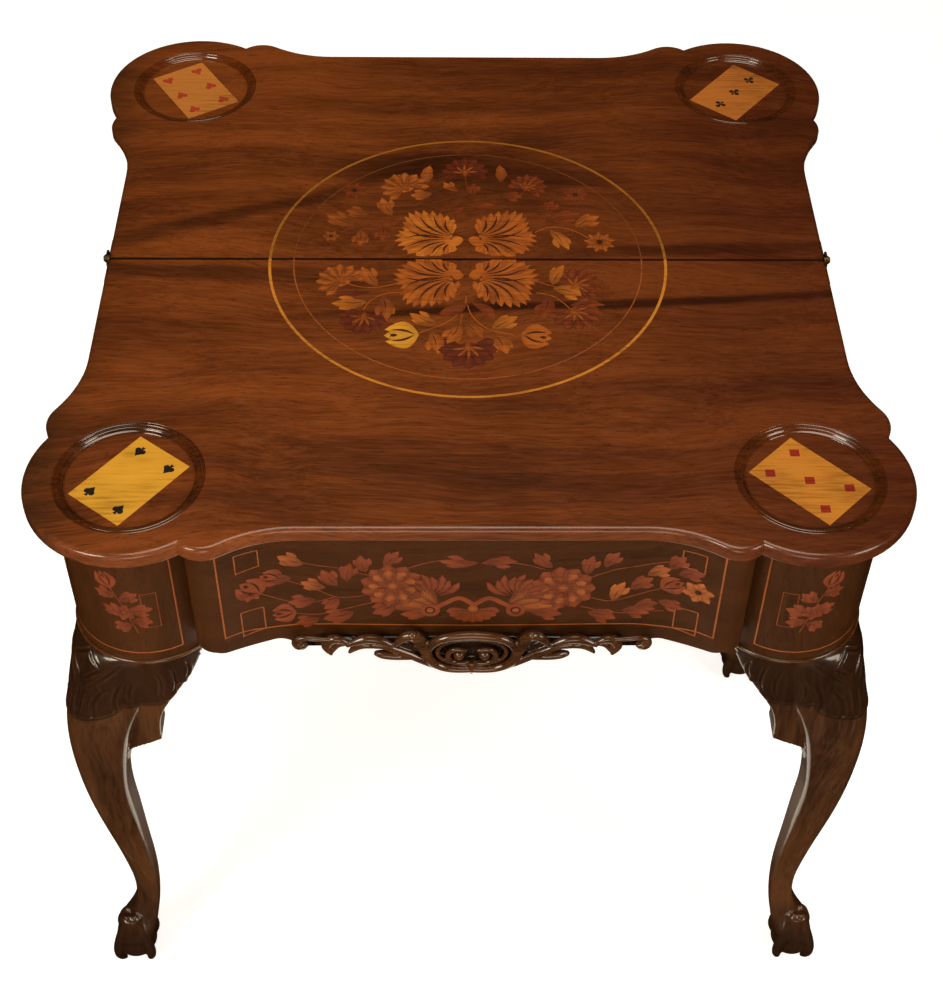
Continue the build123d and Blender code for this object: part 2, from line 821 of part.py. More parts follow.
# Carved ornament
def carving():
    """The ornament's outline and its rebate over the rail; a middle cartouche with a leafy arm each side."""
    front = front_recess - overhang + carving_proud
    carving_top = skirt_bottom + carving_rise
    carving_bottom = skirt_bottom - carving_drop
    arm_bottom = skirt_bottom - arm_drop_share * carving_drop
    shoulder_z = skirt_bottom - cartouche_shoulder_share * carving_drop
    arm_tip = (carving_half, (skirt_bottom + arm_bottom) / 2)
    scallop = (carving_half - cartouche_half) / arm_scallops
    with BuildPart() as ornament:
        with BuildSketch(Plane.XZ):
            with BuildLine():
                Line((0, carving_top), (cartouche_half / 2, carving_top))
                Line((cartouche_half / 2, carving_top), (carving_cap_half, skirt_bottom + carving_proud / 2))
                Line((carving_cap_half, skirt_bottom + carving_proud / 2), (carving_cap_half, skirt_bottom))
                Line((carving_cap_half, skirt_bottom), (carving_half, skirt_bottom))
                Line((carving_half, skirt_bottom), arm_tip)
                for number in range(arm_scallops):
                    start = carving_half - number * scallop
                    end = start - scallop
                    start_point = arm_tip if number == 0 else (start, arm_bottom)
                    end_point = (cartouche_half, shoulder_z) if number == arm_scallops - 1 else (end, arm_bottom)
                    RadiusArc(start_point, end_point, scallop)
                RadiusArc((cartouche_half, shoulder_z), (0, carving_bottom), cartouche_half)
                mirror(about=Plane.YZ)
            make_face()
        extrude(amount=front)
        with BuildSketch(Plane.XY):
            with Locations((0, -(front - carving_depth) / 2)):
                Rectangle(2 * carving_half + cut_overrun, front - carving_depth)
        extrude(amount=carving_top, mode=Mode.SUBTRACT)
        with BuildSketch(Plane.XY.offset(skirt_bottom)):
            with Locations((0, -(front_recess - overhang) / 2)):
                Rectangle(2 * carving_half + cut_overrun, front_recess - overhang)
        extrude(amount=carving_top - skirt_bottom, mode=Mode.SUBTRACT)
    return ornament


# Hinges
def fixed_plate(side):
    with BuildPart() as plate:
        with BuildSketch(hinge_plane(side, 0)):
            plate_blank(side, -1, leaf_gap / 2)
            eye_neck(side, -1)
            with Locations(upright(side, 0, hinge_z)):
                Circle(hinge_pin_radius, mode=Mode.SUBTRACT)
        extrude(amount=-hinge_thickness)
        for plane in hinge_screw_planes(side, -1):
            add(screw(plane, hinge_screw_length), mode=Mode.SUBTRACT)
    return plate


def flap_plate(side):
    """The folding leaf's plate, joggled out so that its eye lies outside the fixed one."""
    near = hinge_eye_radius + hinge_eye_gap
    bottom = top_height - leaf_thickness / 2 - hinge_height / 2
    with BuildPart() as plate:
        with BuildSketch(hinge_plane(side, 0)):
            plate_blank(side, 1, near)
        extrude(amount=-hinge_thickness)
        with BuildSketch(hinge_plane(side, 0)):
            with Locations(upright(side, (near + hinge_lug) / 2, bottom + hinge_height / 2)):
                Rectangle(hinge_lug - near, hinge_height)
        extrude(amount=hinge_side_gap)
        with BuildSketch(hinge_plane(side, hinge_side_gap)):
            with Locations(upright(side, hinge_lug / 2, (bottom + hinge_z) / 2)):
                Rectangle(hinge_lug, hinge_z - bottom)
            with Locations(upright(side, 0, hinge_z)):
                Circle(hinge_eye_radius)
                Circle(hinge_pin_radius + running_gap, mode=Mode.SUBTRACT)
        extrude(amount=hinge_thickness)
        for plane in hinge_screw_planes(side, 1):
            add(screw(plane, hinge_screw_length), mode=Mode.SUBTRACT)
    return plate


def hinge_pin(side):
    outer = hinge_side_gap + hinge_thickness + running_gap
    with BuildPart() as pin:
        with BuildSketch(hinge_plane(side, -hinge_thickness)):
            with Locations(upright(side, 0, hinge_z)):
                Circle(hinge_pin_radius)
        extrude(amount=hinge_thickness + outer)
        with BuildSketch(hinge_plane(side, outer)):
            with Locations(upright(side, 0, hinge_z)):
                Circle(hinge_pin_head_radius)
        extrude(amount=hinge_pin_head)
    return pin


def hinge_screws(leaf_sign):
    with BuildPart() as screws:
        for side in (-1, 1):
            for plane in hinge_screw_planes(side, leaf_sign):
                add(screw(plane, hinge_screw_length))
    return screws


# Blocks inside the frame
def screw_blocks():
    with BuildPart() as blocks:
        for x, y in block_places():
            on_side = abs(x) > block_from_middle
            with BuildSketch(Plane.XY.offset(rail_top - block_height)):
                with Locations((x, y)):
                    if on_side:
                        Rectangle(block_depth, block_length)
                    else:
                        Rectangle(block_length, block_depth)
            extrude(amount=block_height)
            add(screw(leaf_screw_plane(x, y), block_height + leaf_screw_bite), mode=Mode.SUBTRACT)
    return blocks


def leaf_screws():
    with BuildPart() as screws:
        for x, y in block_places():
            add(screw(leaf_screw_plane(x, y), block_height + leaf_screw_bite))
    return screws


def back_rail_screws():
    with BuildPart() as screws:
        for plane in back_screw_planes():
            add(screw(plane, back_screw_length))
    return screws


def corner_blocks():
    """Three-cornered glue blocks where the inner back rail meets the side rails."""
    corner_in_y = -(post_front_y + inner_back_thickness)
    with BuildPart() as blocks:
        with BuildSketch(Plane.XY.offset(rail_bottom + corner_block_margin)):
            for side in (-1, 1):
                corner_in_x = side * side_rail_inner
                Polygon(
                    (corner_in_x, corner_in_y),
                    (corner_in_x - side * corner_block_leg, corner_in_y),
                    (corner_in_x, corner_in_y - corner_block_leg),
                    align=None,
                )
        extrude(amount=rail_top - rail_bottom - 2 * corner_block_margin)
    return blocks


os.makedirs("parts", exist_ok=True)

save(leaf(-1, ("spades", "diamonds")), "fixed_leaf")
save(leaf(1, ("hearts", "clubs")), "folding_leaf")
for leaf_sign, leaf_name in ((-1, "fixed_leaf"), (1, "folding_leaf")):
    save(stringing(leaf_sign, ring_radius, ring_width), leaf_name + "_ring")
    save(stringing(leaf_sign, line_radius, line_width), leaf_name + "_line")
for side, leaf_sign, suit in ((-1, -1, "spades"), (1, -1, "diamonds"), (-1, 1, "hearts"), (1, 1, "clubs")):
    card(side, leaf_sign, suit)

save(front_rail(), "front_rail")
save(inner_back_rail(), "inner_back_rail")
save(outer_back_rail(), "outer_back_rail")
save(carving(), "apron_carving")
for side, side_name in ((-1, "left"), (1, "right")):
    save(side_rail(side), side_name + "_side_rail")
    save(turret(side), side_name + "_turret")
    front_plane = Plane(origin=(side * corner_x, -corner_y, 0))
    save_leg("front_" + side_name, front_plane, side, -1, front_foot_out, front_foot_depth_share,
             front_post, turret_bottom, rail_top)

rear_plane = Plane(origin=(rear_post_x, -(frame_back + rear_post / 2), 0))
rear_mortise = (-rear_post / 2, rear_post / 2 + frame_back - knuckle_y)
save_leg("rear_right", rear_plane, 1, 1, rear_foot_out, rear_foot_depth_share,
         rear_post, rail_bottom, rail_top, rear_mortise)

gate_post_place = gate_plane.from_local_coords(Vector(gate_arm, gate_post_y, 0))
gate_leg_plane = Plane(origin=gate_post_place, x_dir=gate_plane.x_dir, z_dir=gate_plane.z_dir)
save_leg("gate", gate_leg_plane, 1, -1, rear_foot_out, rear_foot_depth_share,
         rear_post, rail_bottom - gate_head_gap, rail_top - gate_head_gap, (-rear_post / 2, -gate_post_y))
save(gate_rail(), "gate_rail")
save(gate_pin(), "gate_pin")

for side, side_name in ((-1, "left"), (1, "right")):
    save(fixed_plate(side), side_name + "_hinge_fixed_plate")
    save(flap_plate(side), side_name + "_hinge_flap_plate")
    save(hinge_pin(side), side_name + "_hinge_pin")
save(hinge_screws(-1), "hinge_fixed_screws")
save(hinge_screws(1), "hinge_flap_screws")
save(screw_blocks(), "screw_blocks")
save(leaf_screws(), "leaf_screws")
save(back_rail_screws(), "back_rail_screws")
save(corner_blocks(), "corner_blocks")
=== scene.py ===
"""Marquetry card table with its top open: woods, inlays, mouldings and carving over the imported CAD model."""
from math import atan2, cos, degrees, exp, hypot, log, pi, radians, sin, sqrt

import bmesh
import bpy
from mathutils import Matrix, Vector


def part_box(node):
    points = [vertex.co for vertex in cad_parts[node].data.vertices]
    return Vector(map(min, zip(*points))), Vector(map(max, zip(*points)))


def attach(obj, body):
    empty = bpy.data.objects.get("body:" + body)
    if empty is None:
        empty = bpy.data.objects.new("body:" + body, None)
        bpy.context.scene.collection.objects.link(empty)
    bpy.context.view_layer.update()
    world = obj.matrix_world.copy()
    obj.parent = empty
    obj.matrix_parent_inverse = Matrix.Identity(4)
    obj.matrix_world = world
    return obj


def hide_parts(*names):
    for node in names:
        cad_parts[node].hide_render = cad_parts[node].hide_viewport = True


bl_info = {
    "name": "Marquetry Card Table",
    "version": (1, 0, 0),
    "blender": (4, 5, 0),
    "location": "3D View > Sidebar > Card Table",
    "description": "Builds the finish, inlays, mouldings and carving of a fold-over card table",
    "category": "Object",
}

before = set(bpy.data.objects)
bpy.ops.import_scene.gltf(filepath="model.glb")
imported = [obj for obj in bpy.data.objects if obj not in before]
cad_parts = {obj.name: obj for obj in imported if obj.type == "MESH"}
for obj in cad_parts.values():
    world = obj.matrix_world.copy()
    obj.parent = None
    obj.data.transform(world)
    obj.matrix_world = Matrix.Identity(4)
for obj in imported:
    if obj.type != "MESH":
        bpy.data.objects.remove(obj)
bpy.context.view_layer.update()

MM = 0.001
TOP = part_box("fixed_leaf_ring")[1].z
TURRET_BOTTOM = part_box("left_turret")[0].z
# Middle of each counter well and turret, from the table's middle
CORNER_X = 0.316
CORNER_Y = 0.313
TURRET_RADIUS = 0.074

# Heights between which the feet's darkening towards the bottom fades out
FOOT_DARK_FULL = 0.040
FOOT_DARK_END = 0.120
# How far a knee's carving reaches round its post, in degrees to each side, and down it in millimetres
KNEE_HALF_TURN = 125
KNEE_DROP = 110
# Width of a degree on the knee, in millimetres
DEGREE = 1.29

# The apron's face: straight in the middle, then a hollow and a round lobe each side
APRON_FACE = 0.369
APRON_STRAIGHT = 0.160
APRON_HOLLOW = 0.13184
APRON_HOLLOW_Y = 0.50084
APRON_CHANGE = 0.2316
APRON_LOBE = 0.021
APRON_LOBE_X = 0.243
APRON_LOBE_Y = 0.3725


# Properties
def colour_property(label, description, default):
    return bpy.props.FloatVectorProperty(
        name=label, description=description, subtype="COLOR", size=3, min=0.0, max=1.0, default=default
    )


def length_property(label, description, default):
    return bpy.props.FloatProperty(
        name=label, description=description, default=default, min=0.0, unit="LENGTH", subtype="DISTANCE"
    )


class CardTableColours(bpy.types.PropertyGroup):
    top_light: colour_property("Top light", "Lightest tone of the top's veneer", (0.215, 0.053, 0.009))
    top_middle: colour_property("Top middle", "Main tone of the top's veneer", (0.104, 0.0245, 0.0045))
    top_dark: colour_property("Top dark", "Darkest tone of the top's veneer", (0.028, 0.0085, 0.003))
    apron_light: colour_property("Apron light", "Light tone of the apron's veneer", (0.076, 0.0215, 0.0032))
    apron_dark: colour_property("Apron dark", "Dark tone of the apron's veneer", (0.031, 0.0105, 0.002))
    leg_light: colour_property("Leg light", "Lightest tone of the carved mahogany", (0.134, 0.046, 0.011))
    leg_dark: colour_property("Leg dark", "Darkest tone of the carved mahogany", (0.026, 0.009, 0.003))
    back_light: colour_property("Back light", "Lightest tone of the hidden timber", (0.30, 0.17, 0.075))
    back_dark: colour_property("Back dark", "Darkest tone of the hidden timber", (0.14, 0.07, 0.03))
    stringing: colour_property("Stringing", "Boxwood stringing", (0.54, 0.20, 0.020))
    thin_line: colour_property("Thin line", "Thin inner ring of stringing", (0.32, 0.085, 0.018))
    brass: colour_property("Brass", "Worn brass of the hinges", (0.150, 0.105, 0.045))
    iron: colour_property("Iron", "Dark iron of the gate's pin", (0.11, 0.10, 0.09))


class CardTableSizes(bpy.types.PropertyGroup):
    bead_radius: length_property("Well bead", "Radius of the beads round a counter well", 2.0 * MM)
    inlay_lift: length_property("Inlay lift", "How far an inlay's face stands above its ground", 0.02 * MM)
    inlay_layer: length_property("Inlay layer", "Step from one layer of inlay to the next", 0.021 * MM)
    inlay_step: length_property("Inlay step", "Spread of the pieces of one layer", 0.0195 * MM)
    leg_voxel: length_property("Leg voxel", "Grid that the carved legs are joined on", 1.5 * MM)
    carving_voxel: length_property("Carving voxel", "Grid that the apron's carving is joined on", 0.9 * MM)


# Small tools for materials
def feed(tree, socket, value):
    """Links a socket to another, or sets its own value."""
    if isinstance(value, bpy.types.NodeSocket):
        tree.links.new(value, socket)
    else:
        socket.default_value = value


def combine(tree, operation, *values):
    sums = tree.nodes.new("ShaderNodeMath")
    sums.operation = operation
    for socket, value in zip(sums.inputs, values):
        feed(tree, socket, value)
    return sums.outputs[0]


def fit(tree, value, low, high, to_low=0.0, to_high=1.0):
    """Maps a value from one range to another, smoothly, and holds it there."""
    ranged = tree.nodes.new("ShaderNodeMapRange")
    ranged.interpolation_type = "SMOOTHSTEP"
    for socket, part in zip(ranged.inputs, (value, low, high, to_low, to_high)):
        feed(tree, socket, part)
    return ranged.outputs[0]


def noise(tree, place, scale, detail=3.0, roughness=0.55):
    texture = tree.nodes.new("ShaderNodeTexNoise")
    tree.links.new(place, texture.inputs["Vector"])
    texture.inputs["Scale"].default_value = scale
    texture.inputs["Detail"].default_value = detail
    texture.inputs["Roughness"].default_value = roughness
    return texture.outputs["Fac"]


def stretched(tree, place, scale):
    mapping = tree.nodes.new("ShaderNodeMapping")
    tree.links.new(place, mapping.inputs["Vector"])
    mapping.inputs["Scale"].default_value = scale
    return mapping.outputs["Vector"]


def ramp(tree, factor, *stops):
    colours = tree.nodes.new("ShaderNodeValToRGB")
    band = colours.color_ramp
    while len(band.elements) < len(stops):
        band.elements.new(0.5)
    for element, (position, colour) in zip(band.elements, stops):
        element.position = position
        element.color = (*colour, 1.0)
    tree.links.new(factor, colours.inputs["Fac"])
    return colours.outputs["Color"]


def mixed(tree, factor, first, second, blend="MIX"):
    """Lays a second colour, plain or from a socket, over a first one."""
    if not isinstance(second, bpy.types.NodeSocket):
        second = (*second, 1.0)
    mix = tree.nodes.new("ShaderNodeMix")
    mix.data_type = "RGBA"
    mix.blend_type = blend
    feed(tree, mix.inputs[0], factor)
    feed(tree, mix.inputs[6], first)
    feed(tree, mix.inputs[7], second)
    return mix.outputs[2]


def object_place(tree):
    return tree.nodes.new("ShaderNodeTexCoord").outputs["Object"]


def new_material(name):
    material = bpy.data.materials.new(name)
    material.use_nodes = True
    tree = material.node_tree
    return material, tree, tree.nodes["Principled BSDF"]


def bumped(tree, surface, height, distance, strength=0.5):
    bump = tree.nodes.new("ShaderNodeBump")
    bump.inputs["Strength"].default_value = strength
    bump.inputs["Distance"].default_value = distance
    tree.links.new(height, bump.inputs["Height"])
    tree.links.new(bump.outputs["Normal"], surface.inputs["Normal"])


def polish(tree, surface, fibres, gloss, coat, coat_roughness, specular):
    """Gives a surface its coat, and a roughness between two glosses that follows the fibres."""
    tree.links.new(fit(tree, fibres, 0.3, 0.7, *gloss), surface.inputs["Roughness"])
    surface.inputs["Coat Weight"].default_value = coat
    surface.inputs["Coat Roughness"].default_value = coat_roughness
    surface.inputs["Specular IOR Level"].default_value = specular


# How the fibres are drawn out along the grain's axis
GRAINS = {"X": (0.07, 1.0, 1.0), "Z": (1.0, 1.0, 0.07)}
# Painted shadow in the hinge gap; painted shade (a dark reflection) on the top's right half and left end
SEAM_PAINTED_SHADOW = (0.004, 0.002, 0.001)
RIGHT_PAINTED_SHADE = (0.035, 0.005, 0.003)
LEFT_PAINTED_SHADE = (0.020, 0.012, 0.004)


def grain_factor(tree, place, grain, figure):
    """How light the wood is, from its clouds, bands and fibres; also the fibres and their place."""
    drift = tree.nodes.new("ShaderNodeVectorMath")
    drift.operation = "MULTIPLY_ADD"
    warp = tree.nodes.new("ShaderNodeTexNoise")
    warp.inputs["Scale"].default_value = 3.2
    warp.inputs["Detail"].default_value = 2.0
    tree.links.new(place, warp.inputs["Vector"])
    tree.links.new(warp.outputs["Color"], drift.inputs[0])
    drift.inputs[1].default_value = (0.10, 0.10, 0.10)
    tree.links.new(place, drift.inputs[2])
    drifted = drift.outputs[0]
    along = stretched(tree, drifted, GRAINS[grain])
    bands = noise(tree, along, 26.0, 6.0, 0.62)
    fibres = noise(tree, along, 330.0, 2.0, 0.6)
    clouds = noise(tree, drifted, 2.7, 2.0, 0.5)
    factor = combine(tree, "MULTIPLY", bands, 0.50)
    factor = combine(tree, "MULTIPLY_ADD", clouds, 0.34 * figure, factor)
    return combine(tree, "MULTIPLY_ADD", fibres, 0.22, factor), fibres, along


def toned(colour, share):
    """A colour made darker or lighter."""
    return tuple(share * part for part in colour)


def streaked(tree, place, colour, dark, streaks):
    """Draws dark bands across a colour: x from and to, y at both, half width and depth of each."""
    split = tree.nodes.new("ShaderNodeSeparateXYZ")
    tree.links.new(place, split.inputs[0])
    # Painted shadow of the gap between the two leaves, along the hinge line
    seam = fit(tree, combine(tree, "ABSOLUTE", split.outputs[1]), 0.9 * MM, 2.6 * MM, 0.94, 0.0)
    colour = mixed(tree, seam, colour, SEAM_PAINTED_SHADOW)
    ragged = noise(tree, stretched(tree, place, (2.0, 9.0, 1.0)), 2.0, 4.0, 0.6)
    for x_from, x_to, y_from, y_to, half, depth in streaks:
        slope = (y_to - y_from) / (x_to - x_from)
        line = combine(tree, "MULTIPLY_ADD", split.outputs[0], slope, y_from - slope * x_from)
        line = combine(tree, "MULTIPLY_ADD", ragged, 3.0 * half, line)
        away = combine(tree, "SUBTRACT", split.outputs[1], line)
        away = combine(tree, "ABSOLUTE", combine(tree, "ADD", away, 1.5 * half))
        across = fit(tree, away, 0.25 * half, half, 1.0, 0.0)
        reach = 0.25 * abs(x_to - x_from)
        starts = fit(tree, split.outputs[0], x_from - reach, x_from + reach)
        ends = fit(tree, split.outputs[0], x_to - reach, x_to + reach, 1.0, 0.0)
        mask = combine(tree, "MULTIPLY", across, combine(tree, "MULTIPLY", starts, ends))
        colour = mixed(tree, combine(tree, "MULTIPLY", mask, depth), colour, dark)
    # Painted shade, standing in for a dark reflection, over the right half of the top and at its left end
    colour = mixed(tree, fit(tree, split.outputs[0], -0.12, 0.42, 0.0, 0.46), colour, RIGHT_PAINTED_SHADE)
    return mixed(tree, fit(tree, split.outputs[0], -0.415, -0.35, 0.55, 0.0), colour, LEFT_PAINTED_SHADE)


def wood(name, shades, grain, roughness, coat, coat_roughness, figure, streaks=(), carved=False):
    """A polished wood. A carved one has filled pores, and painted shade and dark feet from its hollow
    attribute.
    """
    material, tree, surface = new_material(name)
    place = object_place(tree)
    factor, fibres, along = grain_factor(tree, place, grain, figure)
    stops = [(0.36 + 0.30 * number / (len(shades) - 1), tone) for number, tone in enumerate(shades)]
    colour = ramp(tree, factor, *stops)
    flecks = fit(tree, noise(tree, along, 900.0, 1.0, 0.5), 0.60, 0.70)
    filled = combine(tree, "MULTIPLY", flecks, 0.18 if carved else 0.45)
    colour = mixed(tree, filled, colour, toned(shades[0], 0.4))
    if streaks:
        colour = streaked(tree, place, colour, toned(shades[0], 0.35), streaks)
    if carved:
        hollow = tree.nodes.new("ShaderNodeAttribute")
        hollow.attribute_name = "hollow"
        # Painted shade in the carving, and the feet darker towards the bottom
        colour = mixed(tree, hollow.outputs["Fac"], colour, toned(shades[0], 0.5))
    tree.links.new(colour, surface.inputs["Base Color"])
    height = combine(tree, "SUBTRACT", fibres, combine(tree, "MULTIPLY", flecks, 0.6))
    bumped(tree, surface, height, 0.12 * MM, 0.10 if carved else 0.35)
    polish(tree, surface, fibres, (roughness - 0.06, roughness + 0.08), coat, coat_roughness, 0.28)
    return material


def brass(name, colour):
    material, tree, surface = new_material(name)
    place = object_place(tree)
    wear = noise(tree, place, 90.0, 5.0, 0.6)
    tarnish = ramp(tree, wear, (0.35, toned(colour, 0.30)), (0.55, colour), (0.75, toned(colour, 1.25)))
    tree.links.new(tarnish, surface.inputs["Base Color"])
    tree.links.new(fit(tree, wear, 0.3, 0.7, 0.55, 0.28), surface.inputs["Roughness"])
    surface.inputs["Metallic"].default_value = 1.0
    bumped(tree, surface, noise(tree, place, 700.0, 2.0), 0.05 * MM)
    return material


def inlay(name, grain, coat):
    """Dyed and sand-shaded veneer, coloured by the piece's own inlay attribute."""
    material, tree, surface = new_material(name)
    stain = tree.nodes.new("ShaderNodeAttribute")
    stain.attribute_name = "inlay"
    place = object_place(tree)
    fibres = noise(tree, stretched(tree, place, GRAINS[grain]), 420.0, 3.0, 0.6)
    mottle = noise(tree, place, 60.0, 3.0, 0.6)
    shade = combine(tree, "MULTIPLY_ADD", fibres, 0.7, combine(tree, "MULTIPLY", mottle, 0.5))
    tone = ramp(tree, shade, (0.35, (0.55, 0.50, 0.45)), (0.62, (1.0, 1.0, 1.0)), (0.85, (1.2, 1.2, 1.1)))
    tree.links.new(mixed(tree, 1.0, stain.outputs["Color"], tone, "MULTIPLY"), surface.inputs["Base Color"])
    bumped(tree, surface, fibres, 0.06 * MM, 0.3)
    polish(tree, surface, fibres, (0.34, 0.46), coat, 0.12, 0.4)
    return material


def veneer(name, colour, depth):
    """A light inlaid wood with a fine grain, such as a card's ground or the stringing."""
    material, tree, surface = new_material(name)
    place = object_place(tree)
    fibres = noise(tree, stretched(tree, place, GRAINS["X"]), 300.0, 4.0, 0.65)
    patches = noise(tree, place, 14.0, 3.0, 0.5)
    shade = combine(tree, "MULTIPLY_ADD", fibres, 0.6, combine(tree, "MULTIPLY", patches, 0.45))
    dark = toned(colour, 1.0 - depth)
    tone = ramp(tree, shade, (0.36, dark), (0.52, colour), (0.70, toned(colour, 1.18)))
    tree.links.new(tone, surface.inputs["Base Color"])
    bumped(tree, surface, fibres, 0.08 * MM, 0.3)
    polish(tree, surface, fibres, (0.34, 0.46), 0.45, 0.12, 0.4)
    return material


def colours():
    return bpy.context.scene.card_table_colours


def sizes():
    return bpy.context.scene.card_table_sizes


def tones(*names):
    """A wood's tones, darkest first."""
    return [tuple(getattr(colours(), name)) for name in names]


# Small tools for pieces
def finish_node(material, *names):
    """Gives CAD nodes a material in all their slots."""
    for name in names:
        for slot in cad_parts[name].material_slots:
            slot.material = material


def seat(bm, name, body, material, replaces=(), smooth=True):
    """Turns a finished bmesh into a piece at the origin that rides on a body."""
    mesh = bpy.data.meshes.new(name)
    bm.to_mesh(mesh)
    bm.free()
    mesh.polygons.foreach_set("use_smooth", [smooth] * len(mesh.polygons))
    mesh.materials.append(material)
    piece = bpy.data.objects.new(name, mesh)
    bpy.context.scene.collection.objects.link(piece)
    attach(piece, body)
    if replaces:
        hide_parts(*replaces)
    return piece


def spun(bm, profile, centre, steps=160):
    """Turns a closed profile of radii and heights a full turn about an upright axis."""
    verts = [bm.verts.new(centre + Vector((radius, 0, height))) for radius, height in profile]
    edges = [bm.edges.new(ends) for ends in zip(verts, verts[1:] + verts[:1])]
    loop = verts + edges
    bmesh.ops.spin(bm, geom=loop, cent=centre, axis=(0, 0, 1), angle=2 * pi, steps=steps, use_merge=True)
    bmesh.ops.remove_doubles(bm, verts=bm.verts, dist=0.01 * MM)
    bmesh.ops.recalc_face_normals(bm, faces=bm.faces)


def add_mesh(bm, mesh):
    """Adds a mesh to a bmesh and throws the mesh away."""
    bm.from_mesh(mesh)
    bpy.data.meshes.remove(mesh)


def add_object(bm, source):
    """Adds an object, as its modifiers and bevels make it, to a bmesh and throws the object away."""
    bpy.context.scene.collection.objects.link(source)
    shown = source.evaluated_get(bpy.context.evaluated_depsgraph_get())
    add_mesh(bm, bpy.data.meshes.new_from_object(shown))
    bpy.data.objects.remove(source)


def stroke(bm, points, radii):
    """Adds a smooth tapering limb along a curve through points. The radii are in millimetres."""
    curve = bpy.data.curves.new("stroke", "CURVE")
    curve.dimensions = "3D"
    curve.bevel_depth = 1.0
    curve.bevel_resolution = 3
    curve.resolution_u = 8
    curve.use_fill_caps = True
    line = curve.splines.new("NURBS")
    line.points.add(len(points) - 1)
    for point, place, radius in zip(line.points, points, radii):
        point.co = (*place, 1.0)
        point.radius = radius * MM
    line.order_u = 3
    line.use_endpoint_u = True
    add_object(bm, bpy.data.objects.new("stroke", curve))
    bpy.data.curves.remove(curve)


def joined(bm, voxel, rounds):
    """Joins overlapping shapes into one skin on a fine grid, then smooths it."""
    mesh = bpy.data.meshes.new("join")
    bm.to_mesh(mesh)
    bm.free()
    block = bpy.data.objects.new("join", mesh)
    remesh = block.modifiers.new("join", "REMESH")
    remesh.mode = "VOXEL"
    remesh.voxel_size = voxel
    skin = bmesh.new()
    add_object(skin, block)
    bpy.data.meshes.remove(mesh)
    axes = {"use_axis_x": True, "use_axis_y": True, "use_axis_z": True}
    for _ in range(rounds):
        bmesh.ops.smooth_vert(skin, verts=skin.verts, factor=0.5, **axes)
    return skin


def saw(bm, place, away, reach=0.0):
    """Cuts everything off that lies on the away side of a plane."""
    everything = bm.verts[:] + bm.edges[:] + bm.faces[:]
    bmesh.ops.bisect_plane(bm, geom=everything, dist=reach, plane_co=place, plane_no=away, clear_outer=True)


def close(bm):
    """Fills the open ends that a cut leaves."""
    rim = [edge for edge in bm.edges if edge.is_boundary]
    if rim:
        bmesh.ops.triangle_fill(bm, edges=rim, use_beauty=True)


def cut_copy(node, height, keep_above):
    """A merged copy of a CAD node, cut level at a height and closed there."""
    bm = bmesh.new()
    bm.from_mesh(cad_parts[node].data)
    bmesh.ops.remove_doubles(bm, verts=bm.verts, dist=0.004 * MM)
    saw(bm, (0, 0, height), (0, 0, -1 if keep_above else 1), 0.01 * MM)
    close(bm)
    bmesh.ops.recalc_face_normals(bm, faces=bm.faces)
    return bm


def pour(bm, part):
    """Moves one bmesh into another."""
    mesh = bpy.data.meshes.new("part")
    part.to_mesh(mesh)
    part.free()
    add_mesh(bm, mesh)


def arc_spot(line, share):
    """A spot on the smooth curve through a line's three points."""
    first, middle, last = (Vector(point) for point in line)
    pull = 2 * middle - 0.5 * (first + last)
    return first * (1 - share) ** 2 + pull * 2 * share * (1 - share) + last * share ** 2


def ray(angle):
    """A step of one to an angle."""
    return Vector((cos(angle), sin(angle)))


def sideways(way):
    """A step of one to the left of a heading."""
    return Vector((-way.y, way.x)).normalized()


def bell(value, middle, width):
    """1 at the middle, falling away on both sides."""
    return exp(-((value - middle) / width) ** 2)


def smoothstep(low, high, value):
    share = min(1.0, max(0.0, (value - low) / (high - low)))
    return share * share * (3 - 2 * share)


# Inlay motifs, drawn flat in millimetres on a panel. Shade is scorched wood; the dyes run from light to dark.
SHADE = (0.050, 0.013, 0.004)
GOLD = (0.66, 0.29, 0.022)
AMBER = (0.52, 0.150, 0.014)
ORANGE = (0.44, 0.108, 0.011)
TAN = (0.33, 0.078, 0.009)
RUSSET = (0.23, 0.042, 0.007)
CLARET = (0.150, 0.022, 0.006)
# Golden section: its multiples never fall on each other, so no two pieces of a layer lie at one height
EVEN_SPREAD = 0.618034


def tinted(colour, tone):
    return tuple(dark + (light - dark) * tone for dark, light in zip(SHADE, colour)) + (1.0,)


class Panel:
    """A ground for inlay: where a flat spot lies on it, and how finely its pieces bend to it."""

    def __init__(self, surface, step, rows, ground=0.0):
        self.bm = bmesh.new()
        self.surface = surface
        self.step = step
        self.rows = rows
        self.ground = ground
        self.laid = 0

    def bed(self, name, body, material):
        """Lets the finished inlay down into its ground."""
        bmesh.ops.recalc_face_normals(self.bm, faces=self.bm.faces)
        piece = seat(self.bm, name, body, material, smooth=False)
        solid = piece.modifiers.new("bed", "SOLIDIFY")
        solid.thickness = 0.25 * MM
        solid.offset = -1.0


def patch(panel, layer, columns, rows, place, tint):
    """One piece of inlay. Place and tint give a spot's place and tone from its shares along and across."""
    bm = panel.bm
    stain = bm.verts.layers.float_color.get("inlay") or bm.verts.layers.float_color.new("inlay")
    made = bmesh.ops.create_grid(bm, x_segments=columns, y_segments=rows, size=1.0)
    panel.laid += 1
    lift = panel.ground + sizes().inlay_lift + layer * sizes().inlay_layer
    lift += panel.laid * EVEN_SPREAD % 1.0 * sizes().inlay_step
    for vert in made["verts"]:
        along = (vert.co.x + 1) / 2
        across = vert.co.y
        x, z = place(along, across)
        vert[stain] = tint(along, across)
        vert.co = panel.surface(x * MM, z * MM, lift)


